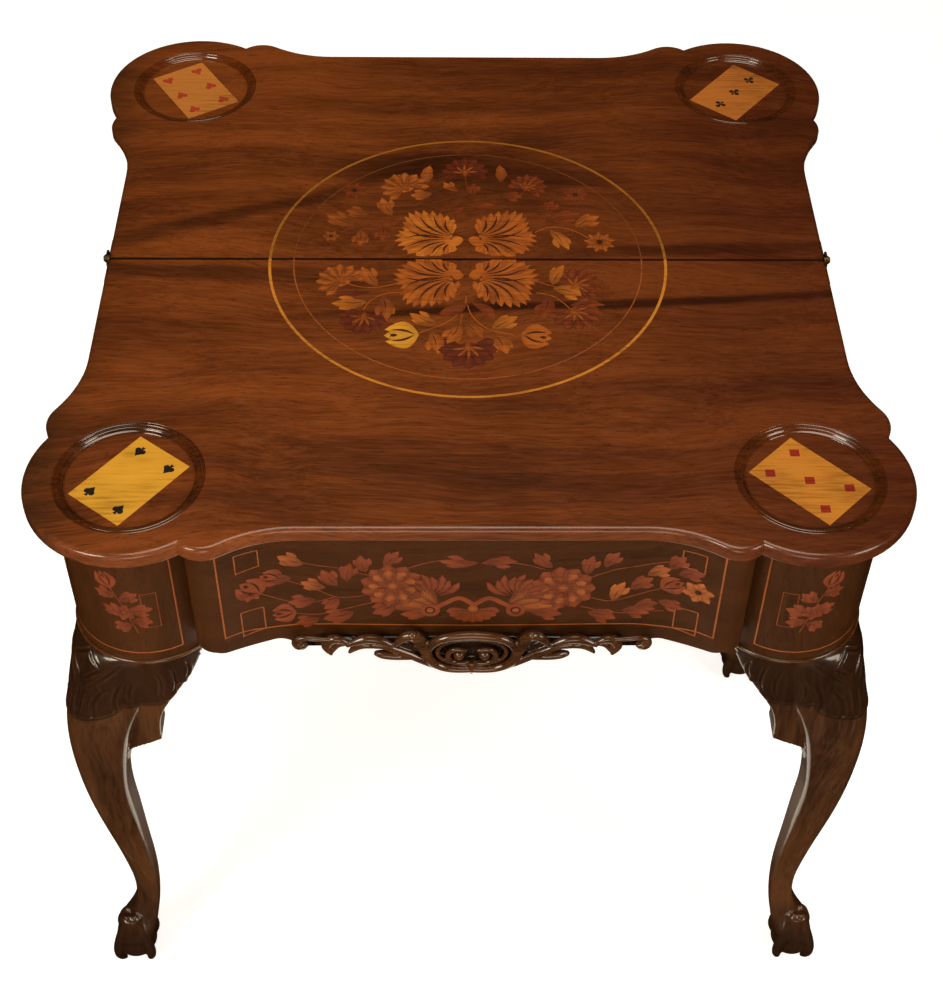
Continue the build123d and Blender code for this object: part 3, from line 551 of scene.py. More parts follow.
def blade(panel, base, tip, width, colour, bend=0.0, full=0.45, start=0.45, nicks=0, layer=0, edge=0.30):
    """A petal or leaf from base to tip. Full is where it is widest, and start is the tone at its base."""
    span = Vector(tip) - Vector(base)
    side = sideways(span)
    power = log(0.5) / log(full)

    def place(along, across):
        half = width / 2 * sin(pi * along ** power) ** 0.8 if 0 < along < 1 else 0.0
        if nicks and along < 0.97:
            half *= 1.0 - 0.28 * abs(((along * nicks) % 1.0) - 0.15)
        return Vector(base) + span * along + side * (bend * sin(pi * along) * span.length + across * half)

    def tint(along, across):
        tone = start + (1.0 - start) * along
        return tinted(colour, tone * (1.0 - edge * abs(across) ** 2))

    patch(panel, layer, 8, panel.rows, place, tint)


def disc(panel, centre, radius, colour, layer=0, core=1.0, rim=0.6):
    def place(along, across):
        return Vector(centre) + ray(-2 * pi * along) * radius * (across + 1) / 2

    def tint(along, across):
        return tinted(colour, core + (rim - core) * (across + 1) / 2)

    patch(panel, layer, 18, max(2, panel.rows), place, tint)


def leaf(panel, base, tip, width, colour=RUSSET):
    """A leaf that widens to three points."""
    base = Vector(base)
    span = Vector(tip) - base
    for way in (-1, 1):
        end = base + span * 0.80 + sideways(span) * way * width * 0.60
        blade(panel, base + span * 0.30, end, width * 0.56, colour, way * 0.10, 0.55, 0.60, 0, 1)
    blade(panel, base, tip, width, colour, 0.06, 0.46, 0.40, 0, 2)
    blade(panel, base + span * 0.12, base + span * 0.66, width * 0.07, SHADE, 0.06, 0.4, 0.8, 0, 3, 0.0)


def even(colour):
    """A tint that is the same all over a piece."""
    return lambda along, across: tinted(colour, 0.9)


def stem(panel, points, width=0.9, colour=ORANGE, layer=0):
    """A thin curved stalk through three or more points."""
    spots = [Vector(point) for point in points]

    def place(along, across):
        run = along * (len(spots) - 1)
        number = min(int(run), len(spots) - 2)
        share = run - number
        before = spots[max(number - 1, 0)]
        start, end = spots[number], spots[number + 1]
        after = spots[min(number + 2, len(spots) - 1)]
        pull = 2 * before - 5 * start + 4 * end - after
        push = 3 * start - before - 3 * end + after
        spot = 0.5 * (2 * start + (end - before) * share + pull * share ** 2 + push * share ** 3)
        slope = 0.5 * ((end - before) + 2 * pull * share + 3 * push * share ** 2)
        return spot + sideways(slope) * across * width / 2

    patch(panel, layer, 8 * (len(spots) - 1), 1, place, even(colour))


def petals(panel, centre, angles, start, end, width, colour, bend, full, tone, nicks, layer, edge):
    """Petals from a middle along the angles, on two layers by turns."""
    for number, angle in enumerate(angles):
        base = Vector(centre) + ray(angle) * start
        tip = Vector(centre) + ray(angle) * end
        blade(panel, base, tip, width, colour, bend, full, tone, nicks, layer + number % 2, edge)


def around(count, turn):
    """Even angles all the way round."""
    return [2 * pi * (number + turn) / count for number in range(count)]


def fanned(count, facing, spread):
    """Even angles over a spread to both sides of a facing."""
    return [facing + spread * (2 * number / (count - 1) - 1) for number in range(count)]


def flower(panel, centre, radius, count, colour, heart, turn=0.0, nicks=0):
    """A round flower: two rings of petals and a heart."""
    disc(panel, centre, 0.72 * radius, colour, 0, 0.45, 0.75)
    for ring, (reach, share) in enumerate(((1.0, 1.0), (0.66, 0.8))):
        angles = [turn + angle for angle in around(count, 0.5 * ring)]
        width = 3.4 * radius * reach / count * share
        petals(panel, centre, angles, 0.08 * radius, radius * reach, width, colour, 0.04, 0.62, 0.40, nicks,
               1 + ring, 0.6)
    disc(panel, centre, radius * 0.2, heart, 5, 1.0, 0.5)


def carnation(panel, centre, radius, facing, colour):
    """A pinked flower seen from the side, with a paler crown of narrow petals where it meets its stalk."""
    centre = Vector(centre)
    out = ray(facing)
    disc(panel, centre + out * radius * 0.30, 0.60 * radius, colour, 0, 0.55, 0.9)
    for ring, (count, reach, spread) in enumerate(((9, 1.0, 2.0), (7, 0.80, 1.7))):
        angles = fanned(count, facing, spread)
        petals(panel, centre, angles, 0, radius * reach, radius * 0.46, colour, 0.03, 0.74, 0.45, 3,
               1 + ring, 0.75)
    for angle in fanned(5, facing, 1.5):
        tip = centre + ray(angle) * radius * 0.52
        blade(panel, centre - out * radius * 0.06, tip, radius * 0.11, TAN, 0.05, 0.5, 0.6, 0, 5, 0.2)
    stalk = centre - out * radius * 0.32
    blade(panel, stalk, centre + out * radius * 0.10, radius * 0.20, TAN, 0, 0.5, 0.6, 0, 6)


def tulip(panel, base, tip, width, colour=RUSSET):
    """A cup of three long petals with dark lines between them."""
    base = Vector(base)
    span = Vector(tip) - base

    def spot(along, across):
        return base + span * along + sideways(span) * width * across

    for way in (-1, 1):
        blade(panel, base, spot(1.0, way * 0.30), width * 0.58, colour, way * 0.20, 0.52, 0.75, 0, 1, 0.2)
    blade(panel, base, spot(1.04, 0.0), width * 0.50, colour, 0, 0.58, 0.75, 0, 3, 0.2)
    for way in (-1, 1):
        for low, high, across, share, bend, layer in (
            (0.12, 0.84, 0.26, 0.10, 0.12, 4), (0.62, 0.86, 0.10, 0.09, -0.3, 5),
        ):
            tip = spot(high, way * across)
            blade(panel, spot(low, 0.0), tip, width * share, SHADE, way * bend, 0.5, 0.3, 0, layer, 0.0)


class CARDTABLE_OT_stage(bpy.types.Operator):
    """Lays the pale floor and places the lights and the camera"""
    bl_idname = "cardtable.stage"
    bl_label = "Stage"

    # Place, aim, size and power of each softbox
    lights = {
        "front_left_light": ((-2.0, -2.4, 2.6), (0, -0.1, 0.6), 1.3, 64),
        "front_right_light": ((2.4, -1.9, 2.0), (0, -0.1, 0.5), 1.2, 34),
        "overhead_light": ((0.1, -0.3, 3.4), (0, 0, 0.7), 1.8, 42),
        "floor_bounce": ((0.0, -0.24, 0.004), (0.0, -0.24, 1.0), 0.50, 0.9),
        "low_front_light": ((0.0, -3.2, 0.9), (0, 0, 0.5), 1.4, 18),
    }
    # The camera as fitted to the photo: place, heading, angle below the horizon and roll
    camera_place = (-0.0220, -1.4176, 1.9358)
    camera_heading = -1.203
    camera_below = 47.432
    camera_roll = 0.911
    lens = 62.55

    def execute(self, context):
        scene = context.scene
        bm = bmesh.new()
        bmesh.ops.create_grid(bm, x_segments=1, y_segments=1, size=7.0)
        mesh = bpy.data.meshes.new("floor")
        bm.to_mesh(mesh)
        bm.free()
        floor = bpy.data.objects.new("floor", mesh)
        scene.collection.objects.link(floor)
        material, tree, surface = new_material("floor_white")
        surface.inputs["Base Color"].default_value = (0.80, 0.79, 0.76, 1.0)
        surface.inputs["Roughness"].default_value = 0.9
        surface.inputs["Specular IOR Level"].default_value = 0.1
        surface.inputs["Emission Color"].default_value = (1.0, 1.0, 0.99, 1.0)
        surface.inputs["Emission Strength"].default_value = 0.72
        mesh.materials.append(material)
        floor.visible_glossy = False

        world = bpy.data.worlds.new("studio")
        world.use_nodes = True
        world.node_tree.nodes["Background"].inputs["Color"].default_value = (1.0, 0.98, 0.95, 1.0)
        world.node_tree.nodes["Background"].inputs["Strength"].default_value = 0.14
        world.cycles_visibility.glossy = False
        scene.world = world

        for name, (place, aim, size, power) in self.lights.items():
            self.softbox(scene, name, place, aim, size, power)

        camera_data = bpy.data.cameras.new("camera")
        camera_data.sensor_width = 36.0
        camera_data.lens = self.lens
        camera = bpy.data.objects.new("camera", camera_data)
        turn = Matrix.Rotation(radians(self.camera_heading), 4, "Z")
        tilt = Matrix.Rotation(radians(90.0 - self.camera_below), 4, "X")
        roll = Matrix.Rotation(radians(self.camera_roll), 4, "Z")
        camera.matrix_world = Matrix.Translation(self.camera_place) @ turn @ tilt @ roll
        scene.collection.objects.link(camera)
        scene.camera = camera
        scene.view_settings.view_transform = "Standard"
        return {"FINISHED"}

    def softbox(self, scene, name, place, aim, size, power):
        """A round warm light that faces its aim."""
        data = bpy.data.lights.new(name, "AREA")
        data.shape = "DISK"
        data.size = size
        data.energy = power
        data.color = (1.0, 0.88, 0.70)
        light = bpy.data.objects.new(name, data)
        light.location = place
        light.rotation_euler = (Vector(aim) - Vector(place)).to_track_quat("-Z", "Y").to_euler()
        light.visible_camera = False
        scene.collection.objects.link(light)


class CARDTABLE_OT_leaves(bpy.types.Operator):
    """Polishes the two leaves and turns the beads round their counter wells"""
    bl_idname = "cardtable.leaves"
    bl_label = "Leaves and well beads"

    # Dark bands in the figure: x from, x to, y at the first, y at the last, half width and depth
    streaks = (
        (-0.16, 0.42, -0.092, -0.050, 0.011, 0.80),
        (0.10, 0.42, 0.012, 0.030, 0.014, 0.55),
        (-0.40, -0.10, 0.020, 0.130, 0.018, 0.55),
        (-0.42, -0.16, -0.012, -0.030, 0.014, 0.50),
        (-0.12, 0.16, 0.150, 0.140, 0.040, 0.55),
    )
    # Radius and height from the leaf's face: each bead's crown, then the cove's way to the floor and back
    bead_places = ((69.7, 0.0), (66.0, -0.9))
    cove_places = ((62.5, -3.4), (60.2, -4.0), (60.2, -4.9), (71.15, -4.9))

    def execute(self, context):
        top_tones = tones("top_dark", "top_middle", "top_light")
        material = wood("top_veneer_polished", top_tones, "X", 0.34, 0.55, 0.10, 1.15, self.streaks)
        finish_node(material, "fixed_leaf", "folding_leaf")
        bead_wood = wood("well_bead_polished", top_tones, "X", 0.20, 1.0, 0.06, 0.5, (), True)
        for body, leaf_sign, name in (("frame", -1, "fixed_leaf"), ("folding_top", 1, "folding_leaf")):
            bm = bmesh.new()
            for side in (-1, 1):
                self.beads(bm, Vector((side * CORNER_X, leaf_sign * CORNER_Y, TOP)))
            seat(bm, name + "_well_beads", body, bead_wood)
        return {"FINISHED"}

    def beads(self, bm, centre):
        """Two beads and the cove between them, from the leaf's face down to the well's floor."""
        size = sizes().bead_radius
        profile = [(71.15 * MM, 0.02 * MM)]
        for middle, crown in self.bead_places:
            for step in range(7):
                angle = pi * step / 6
                profile.append((middle * MM + size * cos(angle), crown * MM - size + size * sin(angle)))
        profile += [(radius * MM, height * MM) for radius, height in self.cove_places]
        part = bmesh.new()
        spun(part, profile, centre)
        pour(bm, part)


class CARDTABLE_OT_cards(bpy.types.Operator):
    """Finishes the four inlaid cards and their pips"""
    bl_idname = "cardtable.cards"
    bl_label = "Playing cards"

    # Colour of each card's ground and pips
    suits = {
        "spades": ((0.62, 0.30, 0.022), (0.012, 0.009, 0.006)),
        "diamonds": ((0.50, 0.185, 0.018), (0.26, 0.018, 0.008)),
        "hearts": ((0.47, 0.165, 0.028), (0.36, 0.045, 0.015)),
        "clubs": ((0.43, 0.135, 0.020), (0.030, 0.016, 0.008)),
    }

    def execute(self, context):
        for suit, (ground, pips) in self.suits.items():
            finish_node(veneer(suit + "_card_wood", ground, 0.5), suit + "_card")
            finish_node(veneer(suit + "_pip_wood", pips, 0.4), suit + "_pips")
        return {"FINISHED"}


class CARDTABLE_OT_stringing(bpy.types.Operator):
    """Finishes the two rings of stringing on the top"""
    bl_idname = "cardtable.stringing"
    bl_label = "Stringing rings"

    def execute(self, context):
        # The folding leaf's stringing is the same wood toned down: painted shade on the top's back half
        for leaf_name, share in (("fixed_leaf", 0.95), ("folding_leaf", 0.52)):
            for piece, colour in (("_ring", colours().stringing), ("_line", colours().thin_line)):
                string = veneer(leaf_name + piece + "_wood", toned(colour, share), 0.5)
                finish_node(string, leaf_name + piece)
        return {"FINISHED"}


class CARDTABLE_OT_top_marquetry(bpy.types.Operator):
    """Lays the floral marquetry inside the stringing rings"""
    bl_idname = "cardtable.top_marquetry"
    bl_label = "Top marquetry"

    # Angle and length of each finger of an acanthus fan, from its root
    fingers = (
        (96, 20), (106, 27), (116, 32), (126, 36), (135, 42), (144, 48), (152, 54), (160, 57), (168, 60),
        (176, 62), (184, 62), (192, 59), (200, 58), (208, 61), (216, 64), (223, 65), (230, 63), (237, 58),
        (245, 52), (253, 46), (262, 40), (272, 34),
    )
    # Angle and length of each dark line between the fingers
    creases = (
        (112, 25), (131, 34), (148, 44), (164, 50), (181, 52), (197, 50), (212, 52), (227, 52), (243, 44),
        (258, 34),
    )
    # How far each half's marquetry stops short of the hinge line
    seam_half = 0.4 * MM

    def execute(self, context):
        material = inlay("top_marquetry_woods", "X", 0.4)
        for name, body, way, spray in (
            ("fixed_leaf", "frame", -1, self.front_spray),
            ("folding_leaf", "folding_top", 1, self.back_spray),
        ):
            panel = Panel(lambda x, y, lift: (x, y, TOP + lift), 6, 2)
            spray(panel)
            saw(panel.bm, (0, way * self.seam_half, 0), (0, -way, 0))
            panel.bed(name + "_marquetry", body, material)
        return {"FINISHED"}

    def fan(self, panel, root, way_x, way_y, dyes):
        """Half an acanthus: a full leaf whose edge is cut into pointed fingers, curling from a volute."""
        root = Vector(root)
        hand = way_x * way_y

        def at(x, y):
            return root + Vector((way_x * x, way_y * y))

        def finger(angle, start, end, width, colour, bend, *rest):
            way = ray(radians(angle))
            bend *= hand if angle < 186 else -hand
            blade(panel, at(*way * start), at(*way * end), width, colour, bend, *rest)

        for number in range(13):
            angle = 104 + 13 * number
            reach = 0.88 * self.fingers[min(21, int(1.75 * number) + 1)][1]
            finger(angle, 2, reach, 21, dyes[number % 3], 0.10, 0.66, 0.85, 0, 0, 0.05)
        for number, (angle, length) in enumerate(self.fingers):
            width = 6.4 + 0.060 * length
            finger(angle, 6, length, width, dyes[number % 3], 0.12, 0.72, 0.74, 0, 1 + number % 2, 0.34)
        for angle, length in self.creases:
            finger(angle, 8, length, 2.3, SHADE, 0.12, 0.5, 0.6, 0, 4, 0.0)
        disc(panel, at(5.0, 2.0), 6.2, dyes[0], 5, 1.0, 0.8)
        blade(panel, at(-9, 5), at(10, 6), 7, dyes[0], 0.20 * hand, 0.6, 0.8, 0, 6, 0.1)
        blade(panel, at(-8, -3), at(10.4, -1.6), 1.5, SHADE, -0.30 * hand, 0.5, 0.6, 0, 7, 0.0)

    def front_spray(self, panel):
        """Two acanthus halves with carnations and tulips, towards the front."""
        self.fan(panel, (-16, -28), 1, 1, (ORANGE, TAN, ORANGE))
        self.fan(panel, (12, -28), -1, 1, (ORANGE, TAN, ORANGE))
        for x in (-9, 4):
            blade(panel, (x * 1.2, -30), (x * 1.6, -48), 6, ORANGE, 0.1, 0.65, 0.5, 0, 3)
        for base, tip, width in (((-1, -69), (-30, -86), 17), ((3, -69), (27, -92), 13)):
            blade(panel, base, tip, width, RUSSET, 0.10, 0.55, 0.5, 4, 1)
        for points, width in (
            (((-2, -58), (-6, -80), (-24, -100), (-50, -115)), 0.9),
            (((-1, -72), (4, -90), (20, -109), (46, -118)), 0.9),
            (((-6, -86), (-9, -104), (-10, -122)), 0.8),
            (((-72, -38), (-92, -45), (-112, -44), (-131, -36)), 0.9),
            (((69, -34), (88, -43), (102, -46), (112, -43)), 0.9),
            (((-68, -53), (-86, -55), (-100, -66), (-107, -80)), 0.9),
            (((70, -53), (86, -58), (98, -70), (107, -84)), 0.9),
        ):
            stem(panel, points, width)
        for base, tip, width, colour in (
            ((-31, -103), (-60, -85), 13, AMBER), ((-38, -113), (-30, -146), 15, ORANGE),
            ((-9, -101), (-22, -131), 14, ORANGE), ((-6, -98), (14, -122), 12, TAN),
            ((23, -110), (50, -90), 14, AMBER), ((26, -116), (38, -146), 15, ORANGE),
            ((-93, -43), (-111, -12), 14, ORANGE), ((-103, -68), (-140, -70), 15, AMBER),
            ((-88, -57), (-83, -96), 14, TAN), ((-110, -86), (-117, -104), 8, RUSSET),
            ((87, -41), (100, -9), 13, AMBER), ((87, -46), (122, -57), 16, AMBER),
            ((82, -59), (75, -94), 15, RUSSET), ((103, -73), (140, -72), 9, RUSSET),
        ):
            leaf(panel, base, tip, width, colour)
        carnation(panel, (-1, -138), 30, -pi / 2, CLARET)
        tulip(panel, (-50, -117), (-84, -119), 30, GOLD)
        tulip(panel, (52, -117), (82, -123), 28, ORANGE)
        for centre, radius, facing, colour in (
            ((-131, -35), 27, 125, ORANGE), ((112, -41), 28, 40, RUSSET),
            ((-107, -92), 26, -105, CLARET), ((108, -84), 28, -55, RUSSET),
        ):
            carnation(panel, centre, radius, radians(facing), colour)
        blade(panel, (-100, -52), (-140, -54), 9, CLARET, 0.05, 0.5, 0.4, 3, 1)

    def back_spray(self, panel):
        """Two acanthus halves with carnations and round flowers, towards the back."""
        self.fan(panel, (-16, 34), 1, -1, (AMBER, ORANGE, AMBER))
        self.fan(panel, (12, 34), -1, -1, (ORANGE, ORANGE, TAN))
        blade(panel, (-14, 70), (-4, 88), 9, RUSSET, 0.1, 0.55, 0.4, 3, 1)
        blade(panel, (6, 84), (30, 92), 12, RUSSET, 0.1, 0.55, 0.4, 3, 1)
        stem(panel, ((72, 45), (88, 54), (110, 50), (128, 36)))
        for points in (
            ((76, 68), (88, 74), (100, 70), (112, 72)), ((-78, 58), (-100, 56), (-120, 54), (-136, 44)),
            ((0, 118), (-1, 132), (-2, 146)), ((-52, 100), (-60, 112), (-70, 122)),
            ((52, 102), (60, 112), (66, 122)),
        ):
            stem(panel, points, 0.8, RUSSET)
        for base, tip, width, colour in (
            ((-81, 73), (-93, 104), 13, ORANGE), ((-106, 76), (-131, 82), 13, TAN),
            ((-120, 56), (-152, 76), 15, TAN), ((-114, 49), (-114, 22), 13, TAN),
            ((-90, 56), (-91, 30), 12, RUSSET), ((88, 78), (93, 99), 12, RUSSET),
            ((83, 63), (122, 78), 13, RUSSET), ((115, 54), (142, 73), 15, ORANGE),
            ((88, 49), (107, 16), 13, AMBER), ((-38, 112), (-62, 108), 13, ORANGE),
            ((-10, 116), (-26, 132), 9, ORANGE), ((6, 108), (8, 130), 11, RUSSET),
            ((36, 108), (60, 106), 12, RUSSET),
        ):
            leaf(panel, base, tip, width, colour)
        carnation(panel, (-2, 150), 26, pi / 2, CLARET)
        blade(panel, (-44, 130), (-41, 162), 15, ORANGE, 0.05, 0.5, 0.35, 3, 1)
        blade(panel, (37, 132), (36, 163), 14, TAN, -0.05, 0.5, 0.35, 3, 1)
        carnation(panel, (-68, 122), 27, radians(120), ORANGE)
        carnation(panel, (66, 124), 22, radians(60), RUSSET)
        flower(panel, (-145, 38), 9, 6, TAN, SHADE)
        flower(panel, (140, 29), 17, 9, ORANGE, SHADE, 0.2, 2)
        flower(panel, (-123, 117), 14, 7, RUSSET, SHADE, 0.4, 2)
        flower(panel, (118, 110), 14, 7, RUSSET, SHADE, 0.1, 2)


def bowed(x):
    """How far the apron's face lies in front of the hinge line, at x from its middle."""
    across = abs(x)
    if across <= APRON_STRAIGHT:
        return APRON_FACE
    if across <= APRON_CHANGE:
        return APRON_HOLLOW_Y - sqrt(APRON_HOLLOW ** 2 - (across - APRON_STRAIGHT) ** 2)
    return APRON_LOBE_Y + sqrt(max(0.0, APRON_LOBE ** 2 - (across - APRON_LOBE_X) ** 2))


def on_apron(x, z, lift):
    return x, -bowed(x) - lift, z


def ribbon(panel, points, width, colour, layer=0):
    """A straight-sided line of stringing along a run of points, with square joints."""
    spots = [Vector(point) for point in points]
    for start, end in zip(spots, spots[1:]):
        way = (end - start).normalized() * width / 2
        side = sideways(way) * width / 2
        first = start - way
        last = end + way

        def place(along, across):
            return first.lerp(last, along) + side * across

        count = max(1, int((last - first).length / panel.step))
        patch(panel, layer, count, 1, place, even(colour))


class CARDTABLE_OT_apron_marquetry(bpy.types.Operator):
    """Lays the stringing, squares and floral spray on the apron's face"""
    bl_idname = "cardtable.apron_marquetry"
    bl_label = "Apron marquetry"

    def execute(self, context):
        panel = Panel(on_apron, 2.5, 4, 0.09 * MM)
        self.lines(panel)
        self.horns(panel)
        self.sprays(panel)
        panel.bed("apron_marquetry", "frame", inlay("apron_marquetry_woods", "X", 0.2))
        return {"FINISHED"}

    def lines(self, panel):
        """The border line, and an upright pair of boxes at each end."""
        foot = [(-233, 622), (-216, 621), (-196, 617), (-178, 616), (-160, 617), (-130, 617), (-60, 615.5)]
        foot += [(0, 615)] + [(-x, z) for x, z in reversed(foot)]
        ribbon(panel, foot, 1.5, TAN)
        for way in (-1, 1):
            inner = way * 196
            outer = way * 217
            ribbon(panel, ((way * 233, 622), (way * 233, 744)), 1.5, TAN)
            for low, high in ((617, 649), (709, 731)):
                box = ((inner, low), (outer, low - 3), (outer, high), (inner, high), (inner, low))
                ribbon(panel, box, 1.1, TAN, 1)

    def horns(self, panel):
        """The fan in the middle with a plumed horn curling out each side of it, and a rose at its mouth."""
        root = Vector((3, 640))
        for number in range(9):
            way = ray(radians(190 + 20 * number)) * Vector((1.0, 0.80))
            blade(panel, root + way * 3, root + way * 26, 10.5, RUSSET, 0.02, 0.7, 0.5, 0, number % 2, 0.5)
        disc(panel, root, 5, TAN, 3, 0.9, 0.5)
        for way, middle, rose in ((-1, -38, (-73, 674)), (1, 44, (88, 671))):
            neck = ((4, 646), (way * 14 + 4, 656), (way * 28 + 4, 648), (middle - way * 2, 640))
            stem(panel, neck, 5.5, RUSSET, 1)
            toward = (Vector(rose) - Vector((middle, 650))).normalized()
            across = sideways(toward)
            for number in range(7):
                share = number / 3 - 1
                base = Vector((middle, 646)) - toward * 6 + across * share * 6
                tip = Vector((middle, 646)) + toward * 34 + across * share * 24
                colour = TAN if number % 2 else RUSSET
                blade(panel, base, tip, 14, colour, 0.04 * way, 0.62, 0.5, 0, 1 + number % 2, 0.7)
            plume = Vector((middle, 654))
            for number in range(10):
                heading = ray(radians(90 - way * (-48 + 15 * number)))
                tip = plume + heading * (38 - 4 * (number % 2))
                base = plume + heading * 8
                blade(panel, base, tip, 9.5, RUSSET, 0.14 * way, 0.66, 0.5, 3, 3 + number % 2, 0.75)
            for radius, colour, layer, core, rim in (
                (9.5, RUSSET, 5, 1.0, 0.75), (5.2, SHADE, 6, 0.9, 0.5), (3.4, TAN, 7, 0.9, 0.6),
            ):
                disc(panel, (middle, 638), radius, colour, layer, core, rim)
            disc(panel, rose, 27, RUSSET, 2, 0.55, 0.8)
            rings = ((11, 31, RUSSET), (9, 23, TAN), (7, 15, RUSSET))
            for ring, (count, radius, colour) in enumerate(rings):
                angles = around(count, 0.5 * ring)
                width = 16 - 2.5 * ring
                petals(panel, rose, angles, radius * 0.30, radius, width, colour, 0.06, 0.72, 0.45, 3,
                       3 + ring, 0.75)
            disc(panel, rose, 5, TAN, 7, 1.0, 0.4)

    def sprays(self, panel):
        """Stalks, leaves and buds on both sides of the fan."""
        for points in (
            ((-100, 660), (-126, 658), (-150, 672), (-176, 684)),
            ((-96, 690), (-122, 700), (-150, 706), (-172, 716)),
            ((-92, 650), (-120, 640), (-146, 632), (-170, 634)),
            ((-128, 658), (-150, 650), (-172, 652), (-196, 668)),
            ((112, 658), (134, 652), (156, 660), (180, 672)),
            ((112, 686), (136, 698), (160, 704), (186, 712)),
            ((106, 644), (130, 636), (154, 634), (186, 640)), ((-58, 700), (-40, 708), (-22, 712)),
            ((70, 698), (48, 706), (26, 708)),
        ):
            stem(panel, points, 0.9, RUSSET)
        for x, z, turn, length, width, *colour in (
            (-126, 630, 200, 26, 14), (-82, 640, 215, 22, 13), (-182, 688, 170, 24, 13),
            (-167, 712, 150, 22, 12, TAN), (-132, 686, 120, 22, 12), (-148, 676, 160, 20, 11, TAN),
            (-160, 652, 190, 22, 12), (-156, 622, 200, 20, 11), (-132, 648, 230, 18, 10),
            (-114, 694, 80, 22, 11), (-100, 706, 100, 20, 11), (-52, 634, 190, 24, 12),
            (-73, 712, 60, 22, 10), (-11, 709, 175, 30, 10), (27, 708, 5, 28, 10),
            (127, 630, -20, 24, 13), (74, 633, -5, 24, 12), (159, 636, -10, 22, 12),
            (168, 646, 20, 20, 11), (141, 666, 70, 24, 11, ORANGE), (162, 678, 40, 22, 12),
            (177, 696, 30, 20, 11, TAN), (193, 712, 60, 20, 11), (206, 700, 20, 20, 11),
            (191, 650, -15, 20, 11), (68, 711, 130, 22, 10), (112, 704, 80, 22, 11),
            (132, 712, 60, 20, 10),
        ):
            middle = Vector((x, z))
            heading = ray(radians(turn)) * 0.62 * length
            leaf(panel, middle - heading, middle + heading, 1.15 * width, *colour)
        for base, tip, width in (
            ((-166, 636), (-188, 634), 22), ((-196, 668), (-214, 690), 22),
            ((-176, 684), (-196, 694), 18), ((180, 672), (200, 686), 18),
        ):
            tulip(panel, base, tip, width)
        flower(panel, (214, 678), 15, 6, ORANGE, SHADE, 0.3)
        flower(panel, (-206, 672), 11, 6, RUSSET, SHADE, 0.1)


def on_turret(side):
    """Lays a panel round a turret. Its x runs to the right round the turret, from the corner's diagonal."""
    heading = radians(-90 + side * 45)

    def surface(x, z, lift):
        angle = heading + x / TURRET_RADIUS
        reach = TURRET_RADIUS + lift
        return side * CORNER_X + reach * cos(angle), -CORNER_Y + reach * sin(angle), z

    return surface


class CARDTABLE_OT_turrets(bpy.types.Operator):
    """Lays the turrets' stringing and sprigs and turns the bead at their feet"""
    bl_idname = "cardtable.turrets"
    bl_label = "Turret inlay and beads"

    def execute(self, context):
        beads = bmesh.new()
        for side, name in ((-1, "left"), (1, "right")):
            panel = Panel(on_turret(side), 2.5, 6, 0.02 * MM)
            ribbon(panel, ((-98, 595), (98, 595)), 1.5, TAN)
            for way in (-1, 1):
                inner = way * 66
                outer = way * 81
                ribbon(panel, ((way * 98, 595), (way * 98, 742)), 1.5, TAN)
                box = ((inner, 633), (outer, 633), (outer, 682), (inner, 682), (inner, 633))
                ribbon(panel, box, 0.8, RUSSET)
                self.sprig(panel, way)
            name += "_turret_marquetry"
            panel.bed(name, "frame", inlay(name + "_woods", "Z", 0.2))
            self.bead(beads, Vector((side * CORNER_X, -CORNER_Y, TURRET_BOTTOM)))
        material = wood("turret_bead_wood", tones("leg_dark", "leg_light"), "X", 0.22, 0.9, 0.10, 1.0)
        seat(beads, "turret_beads", "frame", material)
        return {"FINISHED"}

    def sprig(self, panel, way):
        """A sprig of leaves and a tulip on one half of a turret."""
        def spot(x, z):
            return way * (46 + x), z

        stem(panel, [spot(12, 626), spot(6, 650), spot(0, 672), spot(-8, 694)], 0.9, RUSSET)
        for base, tip, width in (
            ((4, 656), (30, 660), 13), ((4, 652), (-18, 664), 13), ((0, 672), (18, 684), 12),
            ((8, 644), (28, 640), 12), ((8, 640), (-10, 630), 12), ((-2, 680), (-24, 684), 12),
        ):
            leaf(panel, spot(*base), spot(*tip), width)
        flower(panel, spot(2, 656), 12, 6, RUSSET, RUSSET, 0.3)
        tulip(panel, spot(-6, 690), spot(-14, 712), 15)

    def bead(self, bm, centre):
        """The round bead at a turret's foot."""
        middle = Vector((TURRET_RADIUS + 0.6 * MM, 1.2 * MM))
        part = bmesh.new()
        spun(part, [middle + ray(angle) * 2.2 * MM for angle in around(12, 0)], centre)
        pour(bm, part)


